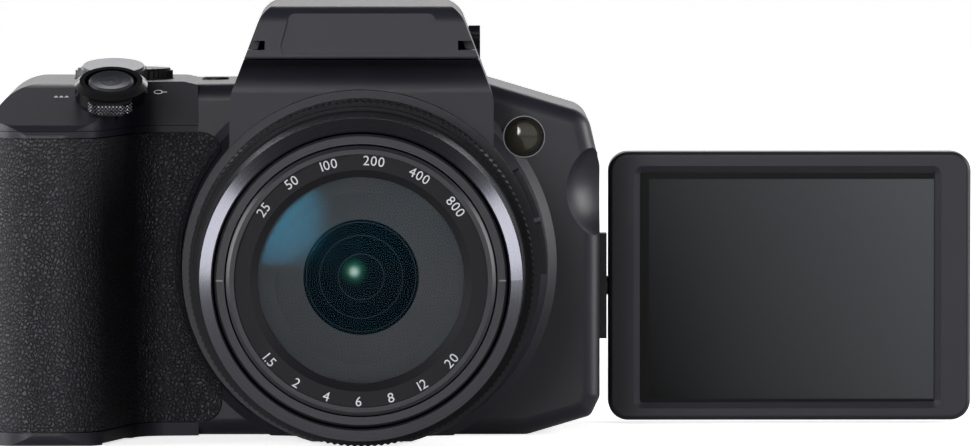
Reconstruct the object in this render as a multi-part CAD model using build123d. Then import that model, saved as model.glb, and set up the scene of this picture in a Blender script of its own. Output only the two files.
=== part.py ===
from build123d import *
import os
from math import cos, pi, radians, sin, tan

os.makedirs("parts", exist_ok=True)

# A bridge camera: one body with a fixed long zoom, a lift-up flash over an eye-level finder,
# and a screen that swings out and turns. Millimetres, +Z up, the lens looks along -Y.
# The origin is the mouth of the tripod socket, in the base plane under the lens axis.

# Overall form
body_left = 76.5            # from the lens axis to the grip's outer side
body_right = 49.5           # from the lens axis to the hinge side
body_front = -14.0          # front face beside the lens
body_rear = 27.0            # rear face round the screen
body_top = 73.0             # valley beside the hump
wall = 1.8                  # moulded wall
seam = 0.05                 # half the gap between two covers
overrun = 4.0               # how far a cutter passes a face
slip = 0.3                  # clearance between parts that move past each other
shaft_slip = 0.05           # radial clearance of a shaft in its bore
quarter_turn = 90.0         # degrees

# Right shoulder and base of the body, as seen from the front
shoulder_start = 24.5
shoulder_start_z = 73.8
shoulder_end = 46.9
shoulder_end_z = 67.1
shoulder_round = 5.0
side_break_z = 56.0
base_round = 4.0
base_chamfer_start = 34.4
base_chamfer_end = 47.6
base_chamfer_rise = 3.9
front_edge_round = 3.6
rear_edge_round = 2.0

# Grip
grip_inner = -34.0          # where the grip's front runs into the body
grip_reach = -45.0          # foremost line of the grip
grip_nose_x = -54.5         # inner end of the rounded nose
grip_valley_x = -46.0       # bottom of the finger hollow
grip_valley_y = -15.4
grip_nose_round = 9.0
grip_valley_round = 7.0
grip_rear_round = 5.0
deck_z = 73.7               # top of the grip beside the dials
deck_round = 10.5           # outer top edge seen from the front
deck_slope = 24.0           # fall of the shutter deck towards the front, degrees
deck_break_y = -25.6        # where the deck starts to fall
deck_nose_round = 3.0
grip_base_round = 2.2

# Rubber cover of the grip
rubber_thick = 1.2
rubber_low = 3.0
rubber_high = 63.0
rubber_lens_gap = 0.7       # its inner edge runs round the lens collar at this distance
rubber_inner = -29.3
rubber_corner = 4.0
rubber_groove = 0.25
rubber_wrap_y = 3.4         # how far it wraps round the outer side

# Hump
hump_top = 91.0
hump_half_low = 27.2
hump_half_high = 19.6
hump_low_z = 71.0
hump_shoulder_round = 7.0
hump_nose_y = -39.0
hump_nose_z = hump_top - 12.0
hump_brow_y = -36.8
hump_brow_z = hump_top - 1.1
hump_brow_round = 4.0
hump_rear_z = hump_top - 4.5
hump_scoop_y = -30.0        # deepest line of the hollow under the brow
hump_scoop_z = hump_top - 14.2
hump_scoop_round = 5.0
hump_saddle_y = -35.0       # where the hollow runs out over the lens
hump_saddle_z = 57.0
hump_foot_z = 40.0
hump_rear_round = 3.0
hump_crown_round = 40.0
panel_half_low = 17.0       # bare panel on the brow
panel_half_high = 14.8
panel_margin = 1.4
panel_depth = 0.5

# Lens
axis_z = 35.8
housing_tube_radius = 33.0  # every other radius of the lens follows this one
collar_radius = housing_tube_radius + 3.9
collar_front = -36.0
collar_floor = 0.35
collar_root_share = 1.3     # how far its root blend reaches, of the body's front round
housing_radius = housing_tube_radius + 1.6
housing_front = -55.0
housing_rear = -13.4
ring_teeth = 160
ring_tooth_radius = housing_radius + 0.7
ring_tooth_depth = 0.35
ring_front = -53.0
ring_rear = -41.0
front_ring_radius = housing_tube_radius + 0.1
front_ring_bore = front_ring_radius - 3.1
front_ring_front = -75.8
front_ring_chamfer = 0.9
front_ring_bevel = 2.6      # the wide bevel that catches light from the sides
outer_barrel_radius = front_ring_bore - 0.4
outer_barrel_bore = outer_barrel_radius - 2.0
outer_barrel_rear = -26.0
outer_barrel_front = -75.4
inner_barrel_radius = outer_barrel_bore - 0.35
inner_barrel_bore = inner_barrel_radius - 1.65
barrel_wall = 1.6
inner_barrel_rear = -32.0
inner_barrel_front = -76.6
name_ring_bore = inner_barrel_bore - 4.7
name_ring_step = name_ring_bore + 1.5
name_ring_drop = 0.7
name_ring_depth = 3.2
glass_sag = 2.4
glass_edge = 1.6
baffle_depth = 9.0
baffle_throat = 11.0
baffle_wall = 0.8
baffle_step_share = 0.45
second_lens_sag = 1.6
second_lens_thick = 3.0
guide_rear_y = -10.4
sensor_size_x = 15.0
sensor_size_z = 13.0
sensor_thick = 2.2
focus_group_radius = 13.0
focus_group_length = 9.0
focus_bore_share = 0.6
focus_glass_share = 0.7
zoom_motor_radius = 4.4
zoom_motor_length = 15.0
motor_x = 39.0
motor_y = -4.0
motor_z = 20.0

# Autofocus lamp and the framing buttons beside the lens
lamp_x = 33.7
lamp_z = 62.2
lamp_radius = 4.4
lamp_bezel = 0.7
lamp_depth = 2.6
framing_radius = collar_radius + 1.3
framing_angles = (24.0, 6.0)
framing_half_angle = 8.0
framing_front = -30.0
framing_rear = -20.0
framing_thick = 2.4
framing_travel = 0.5

# Shutter button, zoom lever and dials
shutter_x = -51.5
shutter_y = -31.6
shutter_radius = 4.75
shutter_height = 4.1
shutter_cap_thick = 1.9
shutter_dome = 0.5
shutter_dish_share = 0.7   # how far the dish falls, of the dome
shutter_travel = 1.2
shutter_stem_radius = 2.0
shutter_stem_length = 3.0
lever_radius = 7.5
lever_bore = 5.4
lever_height = 3.6
lever_low = 0.35
lever_tab_reach = 9.3
lever_tab_half = 4.4
front_dial_x = -51.5
front_dial_y = -15.3
front_dial_radius = 6.8
front_dial_thick = 3.1
front_dial_tilt = 12.0
front_dial_top_z = 77.1
mode_dial_x = -49.8
mode_dial_y = 3.6
mode_dial_radius = 10.2
mode_dial_top_z = 75.9
mode_dial_low_z = 73.2
dial_shaft_radius = 1.6
dial_shaft_length = 4.0
dial_teeth = 48
dial_tooth_depth = 0.3
power_x = -30.8
power_y = 12.0
power_radius = 2.8
button_travel = 0.5
button_proud = 0.7
button_flange = 0.7
button_flange_thick = 0.7
button_gap = 0.15
switch_room_share = 1.5     # room between a button and the switch board, of its travel

# Rear controls: name, centre from the lens axis, height and radius
rear_buttons = {
    "movie_button": (-41.5, 66.3, 2.7),
    "lock_button": (-52.0, 66.3, 2.4),
    "frame_button": (-61.0, 66.3, 2.4),
    "playback_button": (-43.2, 46.0, 2.7),
    "menu_button": (-43.2, 11.0, 2.7),
    "info_button": (-68.6, 11.0, 2.7),
}
pad_x = -56.8
pad_z = 28.2
pad_radius = 10.4
pad_bore = 4.9
pad_proud = 1.1
set_radius = 4.6
thumb_left = -74.6
thumb_right = -60.6
thumb_low = 42.0
thumb_high = 60.0
thumb_round = 4.5
thumb_proud = 1.1
thumb_edge_round = 0.88

# Screen and its hinge
swing_x = 46.5
swing_y = 23.5
panel_thick = 7.0
panel_wide = 76.6
panel_high = 56.8
panel_low = 0.7
panel_round = 4.2
panel_edge_round = 1.0
panel_gap = 5.4             # from the swing axis to the panel's near edge
recess_floor = 19.7
recess_margin = 0.5
hinge_column = 5.1
neck_high = 22.3
knuckle_radius = 3.4
arm_thick = 5.0
arm_end_gap = 0.3
swing_pin_radius = 1.5
swing_pin_length = 4.0
tilt_shaft_radius = 2.0
tilt_shaft_length = 5.0
bezel_hinge_side = 6.7
bezel_outer_side = 7.5
bezel_top = 4.3
bezel_bottom = 3.75
bezel_bevel = 1.3
bezel_thick = 1.9
screen_glass_thick = 0.6
screen_glass_drop = 0.55
display_thick = 1.7

# Finder and flash
eyecup_half = 16.0
eyecup_low = 62.5
eyecup_high = 83.0
eyecup_reach = 12.4
eyecup_round = 5.0
eyecup_wall = 4.2
eyecup_rim = 1.2            # bevel of its rear rim
eye_lens_half = 8.6
eye_lens_high = 9.4
eye_lens_thick = 2.0
finder_half = 12.0
finder_low = 66.2
finder_high = 80.0
finder_front = 1.0
dioptre_z = 80.0
dioptre_y = 20.0
dioptre_radius = 4.2
hump_side_x = 23.6        # the hump's side wall at the height of the dial
dioptre_thick = 2.4
dioptre_shaft_end = 6.0
hinge_y = -4.0
hinge_knuckle = 1.9
hinge_z = hump_top - hinge_knuckle
hinge_pin_radius = 0.8
hinge_ear_near = 12.0
hinge_ear_wide = 3.0
flash_seam_z = hump_nose_z + 0.3
pocket_half = 17.0
pocket_front = -28.4
pocket_low = 70.2
window_half = 14.0
window_front = -23.6
window_low = 72.4
window_high = 80.0
window_thick = 1.5
reflector_depth = 6.5
reflector_wall = 0.7
tube_radius = 1.1
tube_place_share = 1.4      # how far the tube's middle lies from the reflector's back, of its radius
notch_wide = 4.6
notch_high = 1.9
notch_z = hump_top - 9.0
notch_place_share = 0.55

# Base: socket, battery, door
socket_bore = 3.175         # quarter-inch thread
socket_outer = 5.5
socket_depth = 6.5
socket_flange = 1.2
foot_left = -33.0
foot_right = 33.0
foot_front = -7.6
foot_rear = 17.0
plate_thick = 1.4
seat_thick = 2.4
battery_left = -71.9
battery_thick = 12.4
battery_front = -36.0
battery_wide = 32.4
battery_low = 4.6
battery_high = 49.9
cell_slip = 0.25
box_wall = 1.0
card_left = -57.95
card_thick = 2.1
card_wide = 24.0
card_high = 32.0
card_front = -30.0
door_left = -73.0
door_right = -53.4
door_front = -38.4
door_rear = -0.5
door_thick = 2.0
door_round = 3.0
door_pin_radius = 0.8
door_pin_seat = 1.6         # length of the pin's ends in the floor
door_knuckle = 1.5
latch_long = 6.5
latch_wide = 3.6
latch_margin = 2.6
latch_travel = 2.5
latch_drop = 0.5

# Terminal cover and strap bars
terminal_front = 6.0
terminal_rear = 19.0
terminal_low = 14.0
terminal_high = 37.5
terminal_thick = 1.4
terminal_pin_inset = 0.75
terminal_round = 2.0
terminal_edge_share = 0.8   # of the pin's inset, so that the edge clears when it swings
terminal_pin_radius = 0.4
terminal_depth = 6.0
socket_row = ((21.0, 10.0, 3.4), (31.6, 7.5, 3.0))     # height, width and depth of each jack
strap_right_radius = 12.0
strap_right_out = 4.2       # from the body's corner to the middle of the ball that hollows it
strap_right_z = 51.0
strap_left_radius = 11.0
strap_left_out = 4.95
strap_left_z = 57.0
strap_left_y = 12.0
strap_bar_radius = 1.1
strap_bar_drop = 0.3        # how far the right bar lies below the side
strap_left_bar_drop = 0.66
strap_pocket_front = -5.2
strap_pocket_rear = 2.4
strap_pocket_depth = 4.2
strap_pocket_half = 6.0
strap_pocket_round = 2.0
strap_seat = 1.5            # length of a bar's end in the wall

# Partings between the covers
deck_parting_z = 64.6
crown_parting_y = -10.0
crown_parting_z = 66.0
cover_parting_y = 4.0

# Inner boards and frame
board_thick = 1.2
board_front = 6.5
frame_thick = 1.0
frame_y = 16.9              # against the inner face of the rear cover
frame_inset = 5.4
frame_low = 5.6
capacitor_radius = 4.2
capacitor_length = 24.0
capacitor_x = 12.0
capacitor_y = 0.6
capacitor_z = 8.4
chip_side = 12.0
chip_places = ((-24.0, 34.0), (-6.0, 34.0), (12.0, 34.0), (-24.0, 14.0))
screw_head = 1.9
screw_shank = 0.9
screw_length = 3.4


def along_y(outline, front, rear):
    """Extrude an outline drawn in X and Z between two Y values."""
    plane = Plane((0, rear, 0), x_dir=(1, 0, 0), z_dir=(0, -1, 0))
    return extrude(plane * outline, amount=rear - front)


def along_x(outline, left, right):
    """Extrude an outline drawn in Y and Z between two X values."""
    plane = Plane((left, 0, 0), x_dir=(0, 1, 0), z_dir=(1, 0, 0))
    return extrude(plane * outline, amount=right - left)


def along_z(outline, low, high):
    """Extrude an outline drawn in X and Y between two heights."""
    return extrude(Plane((0, 0, low)) * outline, amount=high - low)


def rounded(points, radii):
    """A face with straight sides and rounded corners."""
    return make_face(FilletPolyline(*points, radius=radii, close=True))


def block(left, right, front, rear, low, high):
    """A box between two values on each axis."""
    centre = Pos((left + right) / 2, (front + rear) / 2, (low + high) / 2)
    return centre * Box(right - left, rear - front, high - low)


def turned(frame, points):
    """Turn a polygon of (radius, height) points about a frame's Z axis."""
    profile = Plane.XZ * make_face(Polyline(*points, close=True))
    return frame.location * revolve(profile, axis=Axis.Z)


def tube(frame, outer, bore, low, high):
    """A plain tube on a frame's Z axis."""
    return turned(frame, [(bore, low), (outer, low), (outer, high), (bore, high)])


def rod(frame, radius, low, high):
    """A plain rod on a frame's Z axis."""
    return turned(frame, [(0, low), (radius, low), (radius, high), (0, high)])


def toothed(teeth, tip, root):
    """An outline of equal pointed teeth between two radii."""
    step = pi / teeth
    points = []
    for tooth in range(teeth):
        angle = 2 * step * tooth
        points.append((tip * cos(angle), tip * sin(angle)))
        points.append((root * cos(angle + step), root * sin(angle + step)))
    return make_face(Polyline(*points, close=True))


def write(name, *shapes):
    """Write the solids of one sub-part to its STEP file."""
    solids = [solid for shape in shapes for solid in shape.solids()]
    whole = solids[0] if len(solids) == 1 else Compound(solids)
    export_step(whole, f"parts/{name}.step")


lens_frame = Plane((0, 0, axis_z), x_dir=(1, 0, 0), z_dir=(0, -1, 0))
swing_frame = Plane((swing_x, swing_y, 0), x_dir=(1, 0, 0), z_dir=(0, 0, 1))
panel_mid_z = panel_low + panel_high / 2
neck_low = panel_mid_z - neck_high / 2
neck_top = panel_mid_z + neck_high / 2
panel_near = swing_x + panel_gap
panel_far = panel_near + panel_wide
panel_front = swing_y - panel_thick / 2
panel_rear = swing_y + panel_thick / 2
recess_left = 2 * swing_x - panel_far - recess_margin
recess_high = panel_low + panel_high + recess_margin


def deck_frame(x, y, tilt, z):
    """A frame on the top of the grip, leaning forward by tilt degrees."""
    return Plane((x, y, z), x_dir=(1, 0, 0), z_dir=(0, -sin(radians(tilt)), cos(radians(tilt))))


shutter_seat_z = deck_z - (deck_break_y - shutter_y) * tan(radians(deck_slope))
shutter_frame = deck_frame(shutter_x, shutter_y, deck_slope, shutter_seat_z)
front_dial_frame = deck_frame(front_dial_x, front_dial_y, front_dial_tilt, front_dial_top_z)
mode_dial_frame = Plane((mode_dial_x, mode_dial_y, 0))


def core_outline():
    """Front view of the body from inside the grip to the hinge side."""
    points = [
        (grip_valley_x, 0),
        (base_chamfer_start, 0),
        (base_chamfer_end, base_chamfer_rise),
        (body_right, base_chamfer_rise + base_round),
        (body_right, side_break_z),
        (shoulder_end, shoulder_end_z),
        (shoulder_start, shoulder_start_z),
        (grip_valley_x, body_top),
    ]
    radii = [0, base_round, base_round / 2, base_round / 2, base_round, shoulder_round, base_round, 0]
    return rounded(points, radii)


def grip_outline():
    """Plan view of the grip, over the whole depth of the body."""
    points = [
        (-body_left, body_rear),
        (-body_left, grip_reach),
        (grip_nose_x, grip_reach),
        (grip_valley_x, grip_valley_y),
        (grip_inner, body_front),
        (grip_inner, body_rear),
    ]
    radii = [grip_rear_round, grip_nose_round, grip_nose_round, grip_valley_round, 0, 0]
    return rounded(points, radii)


def grip_front_outline():
    """Front view of the grip, whose outer top edge is a wide round."""
    points = [
        (-body_left, 0),
        (-body_left, deck_z),
        (grip_valley_x + grip_nose_round, deck_z),
        (grip_inner, body_top),
        (grip_inner, 0),
    ]
    return rounded(points, [grip_base_round, deck_round, grip_nose_round / 3, 0, 0])


def grip_side_outline():
    """Side view of the grip, whose deck falls towards the front."""
    fall = (deck_break_y - grip_reach) * tan(radians(deck_slope))
    points = [
        (grip_reach, 0),
        (body_rear, 0),
        (body_rear, deck_z),
        (deck_break_y, deck_z),
        (grip_reach, deck_z - fall),
    ]
    return rounded(points, [grip_base_round, 0, rear_edge_round, grip_nose_round, deck_nose_round])


def grip_form():
    """The grip as the common part of its plan, front and side views."""
    form = along_z(grip_outline(), 0, deck_z) & along_y(grip_front_outline(), grip_reach, body_rear)
    return form & along_x(grip_side_outline(), -body_left, grip_inner)


def hump_outline():
    """Front view of the hump down to its foot behind the lens."""
    points = [
        (-hump_half_low, hump_foot_z),
        (hump_half_low, hump_foot_z),
        (hump_half_low, hump_low_z),
        (hump_half_high, hump_top),
        (-hump_half_high, hump_top),
        (-hump_half_low, hump_low_z),
    ]
    shoulder = hump_shoulder_round
    return rounded(points, [0, 0, shoulder, shoulder, shoulder, shoulder])


def hump_side_outline():
    """Side view of the hump: brow, hollow under it, and the saddle over the lens."""
    points = [
        (body_rear, hump_foot_z),
        (body_rear, hump_rear_z),
        (hinge_y, hinge_z + hinge_knuckle),
        (hump_brow_y, hump_brow_z),
        (hump_nose_y, hump_nose_z),
        (hump_scoop_y, hump_scoop_z),
        (hump_saddle_y, hump_saddle_z),
        (hump_saddle_y, hump_foot_z),
    ]
    blend = hump_scoop_round
    radii = [0, hump_rear_round, hump_crown_round, hump_brow_round, rear_edge_round / 2, blend, blend, 0]
    return rounded(points, radii)


def hump_form():
    """The hump as the common part of its front and side views, with a bare panel on the brow."""
    form = along_y(hump_outline(), hump_nose_y, body_rear)
    return form & along_x(hump_side_outline(), -hump_half_low, hump_half_low)


def core_form():
    """The body beside the grip, with its front and rear edges rounded."""
    form = along_y(core_outline(), body_front, body_rear)
    outer = form.faces().filter_by(Axis.Y)
    front = [edge for edge in outer.sort_by(Axis.Y)[0].edges() if not on_left(edge)]
    return fillet(front, front_edge_round)


def on_left(edge):
    """Whether an edge lies in the core's left end, inside the grip."""
    return edge.center().X < grip_valley_x + rear_edge_round


def collar_form():
    """The round collar of the front cover behind the lens ring."""
    radius = collar_radius
    return turned(lens_frame, [
        (0, 0),
        (radius + front_edge_round, 0),
        (radius + front_edge_round, -body_front),
        (radius + front_edge_round / 2, -body_front + front_edge_round / 3),
        (radius, -body_front + front_edge_round * collar_root_share),
        (radius, -collar_front),
        (0, -collar_front),
    ])


def sphere_at(x, y, z, radius):
    """A ball that scoops out a hollow."""
    return Pos(x, y, z) * Sphere(radius)


def strap_scoops(grow=0):
    """The hollow in the right front corner, and the one round the left strap bar."""
    right = sphere_at(body_right + strap_right_out, body_front - strap_right_out, strap_right_z,
                      strap_right_radius + grow)
    left = sphere_at(-body_left - strap_left_out, strap_left_y, strap_left_z, strap_left_radius + grow)
    return right + left


def strap_pocket(grow=0):
    """The pocket in the right side that the strap passes through, behind its bar."""
    front, rear = strap_pocket_front - grow, strap_pocket_rear + grow
    low, high = strap_right_z - strap_pocket_half - grow, strap_right_z + strap_pocket_half + grow
    outline = rounded([(front, low), (rear, low), (rear, high), (front, high)], strap_pocket_round + grow)
    return along_x(outline, body_right - strap_pocket_depth - grow, body_right + overrun)


def outer_form():
    """The whole outer shape of the body, without its openings."""
    form = core_form() + grip_form()
    form = form + hump_form() + collar_form()
    form = form & block(-body_left, body_right, grip_reach, body_rear, 0, hump_top)
    below = block(-collar_radius * 2, body_right, collar_front - overrun, body_front - front_edge_round * 2,
                  -overrun, collar_floor)
    return form - below - strap_scoops() - strap_pocket()


def screen_recess():
    """The space in the rear that the closed screen lies in, and the room round its hinge."""
    low, high = -overrun, recess_high
    pocket = block(recess_left, body_right + overrun, recess_floor, body_rear + overrun, low, high)
    column = rod(swing_frame, hinge_column, low, high + overrun)
    column = column & block(swing_x - hinge_column, body_right, recess_floor, body_rear, low, high + overrun)
    column = column + block(swing_x - hinge_column, body_right, recess_floor, swing_y, low, high)
    column = column - block(swing_x - hinge_column * 2, swing_x, recess_floor, swing_y, low, high) \
        + (rod(swing_frame, hinge_column, low, high) & block(swing_x - hinge_column * 2, swing_x,
                                                             recess_floor, body_rear, low, high))
    gap = block(recess_left, body_right + overrun, recess_floor - slip, body_rear + overrun,
                neck_low - slip, neck_top + slip)
    pins = rod(swing_frame, swing_pin_radius + shaft_slip, neck_low - swing_pin_length - slip,
               neck_top + swing_pin_length + slip)
    return pocket - column + gap + pins


def inner_space():
    """The hollow that the covers enclose."""
    main = along_y(offset(core_outline(), -wall), body_front + wall, recess_floor - wall)
    main = main - block(recess_left, body_right, grip_reach, body_rear, body_top - wall * 2, hump_top)
    grip = along_z(offset(grip_outline(), -(wall + rubber_thick)), wall + slip, rubber_high - wall)
    grip = grip & block(-body_left, grip_inner + overrun, grip_reach, body_rear, 0, hump_top)
    deck = block(-body_left + deck_round, grip_inner - wall, body_front + wall * 2, body_rear - wall - rubber_thick,
                 rubber_high - wall * 2, deck_z - wall * 2)
    finder = block(-finder_half - slip, finder_half + slip, finder_front - slip, body_rear - wall,
                   body_top - wall * 4, crown_parting_z + overrun)
    start = hinge_y + hinge_knuckle + 2 * slip + wall
    crown = hump_hollow() & block(-hump_half_low, hump_half_low, start, body_rear - wall, crown_parting_z, hump_top)
    return main + grip + deck + finder + crown - strap_scoops(wall) - strap_pocket(wall)


def flash_pocket():
    """The well in the hump that the flash reflector drops into."""
    return block(-pocket_half, pocket_half, pocket_front, hinge_y - hinge_knuckle - wall, pocket_low,
                 flash_seam_z + overrun)


def flash_hinge_frame():
    """A frame whose Z axis is the flash hinge."""
    return Plane((0, hinge_y, hinge_z), x_dir=(0, 1, 0), z_dir=(1, 0, 0))


def cover_bores():
    """Holes in the covers for the lens, lamp, controls, plates and doors."""
    bores = [
        rod(lens_frame, housing_tube_radius, -body_front - overrun, -collar_front + overrun),
        rod(lamp_frame, lamp_radius, -lamp_depth, overrun * 2),
        rod(shutter_frame, shutter_stem_radius + button_gap, -shutter_stem_length - shutter_travel - slip, overrun),
        rod(mode_dial_frame, mode_dial_radius + slip, mode_dial_low_z - slip, deck_z + overrun),
        rod(mode_dial_frame, dial_shaft_radius + shaft_slip, mode_dial_low_z - dial_shaft_length - slip, deck_z),
        rod(front_dial_frame, front_dial_radius + slip, -front_dial_thick - slip, overrun),
        rod(front_dial_frame, dial_shaft_radius + shaft_slip,
            -front_dial_thick - dial_shaft_length - slip, overrun),
        rod(power_frame, power_radius + button_gap, -overrun, overrun),
        rod(dioptre_frame, dial_shaft_radius + shaft_slip, -dioptre_shaft_end - slip, overrun),
        rod(dioptre_frame, dioptre_radius + slip, -dioptre_thick / 2 - slip, overrun),
    ]
    for x, z, radius in rear_buttons.values():
        bores.append(rod(rear_frame(x, z), radius + button_gap, -overrun * 2, overrun))
    bores.append(rod(rear_frame(pad_x, pad_z), pad_radius + slip, -overrun * 2, overrun))
    return bores


def rear_frame(x, z):
    """A frame on the rear face, with its Z axis pointing out of the camera."""
    return Plane((x, body_rear, z), x_dir=(-1, 0, 0), z_dir=(0, 1, 0))


lamp_frame = Plane((lamp_x, body_front, lamp_z), x_dir=(1, 0, 0), z_dir=(0, -1, 0))
power_frame = Plane((power_x, power_y, body_top))
dioptre_frame = Plane((hump_side_x, dioptre_y, dioptre_z), x_dir=(0, 1, 0), z_dir=(1, 0, 0))


def plate_outline(grow):
    """The base plate round the tripod socket."""
    left, right, front, rear = foot_left - grow, foot_right + grow, foot_front - grow, foot_rear + grow
    points = [(left, front), (right, front), (right, rear), (left, rear)]
    return rounded(points, door_round + grow)


def door_outline(grow):
    """The battery door under the grip."""
    left, right, front, rear = door_left - grow, door_right + grow, door_front - grow, door_rear + grow
    points = [(left, front), (right, front), (right, rear), (left, rear)]
    return rounded(points, door_round + grow)


def cell_room(grow, low, high):
    """The space of the battery and the card side by side, grown by a margin."""
    battery = block(battery_left - grow, battery_left + battery_thick + grow,
                    battery_front - grow, battery_front + battery_wide + grow, low, high)
    card = block(card_left - grow, card_left + card_thick + grow,
                 card_front - grow, battery_front + battery_wide + grow, low, high)
    return battery + card


def door_cut():
    """The opening for the battery door and its hinge."""
    well = along_z(door_outline(slip), -overrun, door_thick + slip)
    knuckle = rod(door_hinge_frame, door_knuckle + slip, door_left - slip, door_right + slip)
    cells = cell_room(box_wall + 2 * cell_slip, 0, battery_low + battery_high + box_wall + 2 * cell_slip)
    return well + knuckle + cells + door_pin_form(shaft_slip)


def door_pin_form(grow):
    """The steel pin of the battery door."""
    return rod(door_hinge_frame, door_pin_radius + grow, door_left - door_pin_seat - grow,
               door_right + door_pin_seat + grow)


door_hinge_frame = Plane((0, door_rear, door_thick / 2), x_dir=(0, 1, 0), z_dir=(1, 0, 0))


def terminal_outline(grow):
    """The cover of the jacks on the grip's outer side, seen from that side."""
    front, rear, low, high = terminal_front - grow, terminal_rear + grow, terminal_low - grow, terminal_high + grow
    points = [(front, low), (rear, low), (rear, high), (front, high)]
    return rounded(points, [0, terminal_round + grow, terminal_round + grow, 0])


def rubber_outline(grow):
    """Front view of the grip's rubber cover, whose inner edge follows the lens."""
    left, low, high = -body_left - overrun, rubber_low - grow, rubber_high + grow
    sheet = rounded([(left, low), (rubber_inner + grow, low), (rubber_inner + grow, high), (left, high)],
                    [0, rubber_corner + grow, rubber_corner + grow, 0])
    return sheet - Pos(0, axis_z) * Circle(collar_radius + rubber_lens_gap - grow)


def rubber_form(form, grow):
    """The outer layer of the grip under the rubber's outline."""
    prism = along_y(rubber_outline(grow), grip_reach - overrun, rubber_wrap_y + grow)
    core = along_z(offset(grip_outline(), -rubber_thick), -overrun, deck_z + overrun)
    core = core + block(grip_inner - rubber_thick * 2, body_right, body_front + rubber_thick, body_rear, 0, hump_top)
    return (form & prism) - core


def thumb_outline(grow):
    """The rubber rest under the thumb, seen from behind."""
    left, right, low, high = thumb_left - grow, thumb_right + grow, thumb_low - grow, thumb_high + grow
    points = [(left, low), (right, low), (right, high), (left, high)]
    return rounded(points, thumb_round + grow)


def make_covers():
    """The front, rear and top covers, the base plate and the grip's rubber."""
    form = outer_form()
    rubber = rubber_form(form, 0)
    shell = form - rubber_form(form, rubber_groove) - screen_recess() - inner_space() - flash_pocket()
    for bore in cover_bores():
        shell = shell - bore
    shell = shell + base_seat()
    for hole in seat_holes():
        shell = shell - hole
    for bar in make_strap_bars():
        shell = shell - bar
    shell = shell - door_cut() - along_z(plate_outline(seam), -overrun, plate_thick)
    shell = shell - along_x(terminal_outline(slip), -body_left - overrun, -body_left + terminal_thick + slip)
    for hole in jack_mouths() + [finder_port()]:
        shell = shell - hole
    for angle in framing_angles:
        shell = shell - framing_room(angle)
    shell = shell - along_y(thumb_outline(seam), body_rear - wall / 2, body_rear + overrun)
    boss = rod(front_dial_frame, front_dial_radius - wall, -front_dial_thick * 2, -front_dial_thick - slip)
    shell = shell + (boss - rod(front_dial_frame, dial_shaft_radius + shaft_slip, -deck_z, overrun))
    head, rest = cut_flash_head(shell)
    deck = block(-body_left, grip_inner, grip_reach, body_rear, deck_parting_z, hump_top)
    crown = block(grip_inner, body_right, crown_parting_y, body_rear, crown_parting_z, hump_top)
    top = rest & (deck + crown)
    lower = rest - grown(deck, crown)
    front = lower & block(-body_left, body_right, grip_reach, cover_parting_y - seam, -overrun, hump_top)
    rear = lower & block(-body_left, body_right, cover_parting_y + seam, body_rear, -overrun, hump_top)
    return front, rear, top, rubber, head


def grown(deck, crown):
    """The room that the top cover takes from the lower covers, with the seam."""
    low = block(-body_left, grip_inner + seam, grip_reach, body_rear, deck_parting_z - 2 * seam, hump_top)
    high = block(grip_inner, body_right, crown_parting_y - 2 * seam, body_rear, crown_parting_z - 2 * seam, hump_top)
    return low + high


def cut_flash_head(shell):
    """Part the lift-up flash head from the hump, with its hinge ears and finger notches."""
    hinge = flash_hinge_frame()
    front = block(-hump_half_low, hump_half_low, hump_nose_y - overrun, hinge_y, flash_seam_z, hump_top)
    swept = rod(hinge, hinge_knuckle + 2 * slip, -hump_half_low, hump_half_low)
    room = block(-hump_half_low, hump_half_low, hump_nose_y - overrun, hinge_y + slip,
                 flash_seam_z - slip, hump_top) + swept
    head = hump_form() & (front + rod(hinge, hinge_knuckle, -hump_half_low, hump_half_low))
    inside = hump_hollow() & block(-hump_half_low, hump_half_low, hump_nose_y, hinge_y - hinge_knuckle - wall,
                                   flash_seam_z - overrun, hump_top)
    head = head - inside - panel_recess()
    rest = shell - room
    for side in (-1, 1):
        near = side * hinge_ear_near
        far = side * (hinge_ear_near + hinge_ear_wide)
        left, right = min(near, far), max(near, far)
        ear = rod(hinge, hinge_knuckle - slip, left, right) \
            + block(left, right, hinge_y, hinge_y + hinge_knuckle + 2 * slip + wall / 2,
                    hinge_z - hinge_knuckle, hinge_z + hinge_knuckle / 2)
        head = head - rod(hinge, hinge_knuckle + slip, left - slip, right + slip)
        rest = rest + (ear - rod(hinge, hinge_pin_radius + shaft_slip, -hump_half_low, hump_half_low))
        head = head - finger_notch(side)
    pin_far = hinge_ear_near + hinge_ear_wide + overrun
    head = head - rod(hinge, hinge_pin_radius + shaft_slip, -pin_far, pin_far)
    return head, rest


def hump_hollow():
    """The inside of the hump's shell, one wall in from its front and side views."""
    front = along_y(offset(hump_outline(), -wall), hump_nose_y, body_rear)
    return front & along_x(offset(hump_side_outline(), -wall), -hump_half_low, hump_half_low)


def panel_recess():
    """The shallow bare panel on the brow."""
    margin = panel_margin
    points = [
        (-panel_half_low, hump_nose_z + margin),
        (panel_half_low, hump_nose_z + margin),
        (panel_half_high, hump_brow_z - margin),
        (-panel_half_high, hump_brow_z - margin),
    ]
    lean = (hump_brow_y - hump_nose_y) / (hump_brow_z - hump_nose_z)
    cutter = along_y(rounded(points, margin), hump_nose_y - overrun, hump_brow_y + overrun)
    slab = along_x(make_face(Polyline(
        (hump_nose_y - overrun, hump_nose_z - overrun),
        (hump_nose_y + panel_depth - lean * overrun, hump_nose_z - overrun),
        (hump_brow_y + panel_depth + lean * overrun, hump_brow_z + overrun),
        (hump_nose_y - overrun, hump_brow_z + overrun),
        close=True)), -hump_half_low, hump_half_low)
    return cutter & slab


def finger_notch(side):
    """A notch in the flank of the flash head for a finger."""
    middle = side * (hump_half_high + notch_wide * notch_place_share)
    half = notch_wide / 2
    return block(middle - half, middle + half, hump_nose_y - overrun, hump_brow_y + notch_wide,
                 notch_z - notch_high / 2, notch_z + notch_high / 2)


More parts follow.
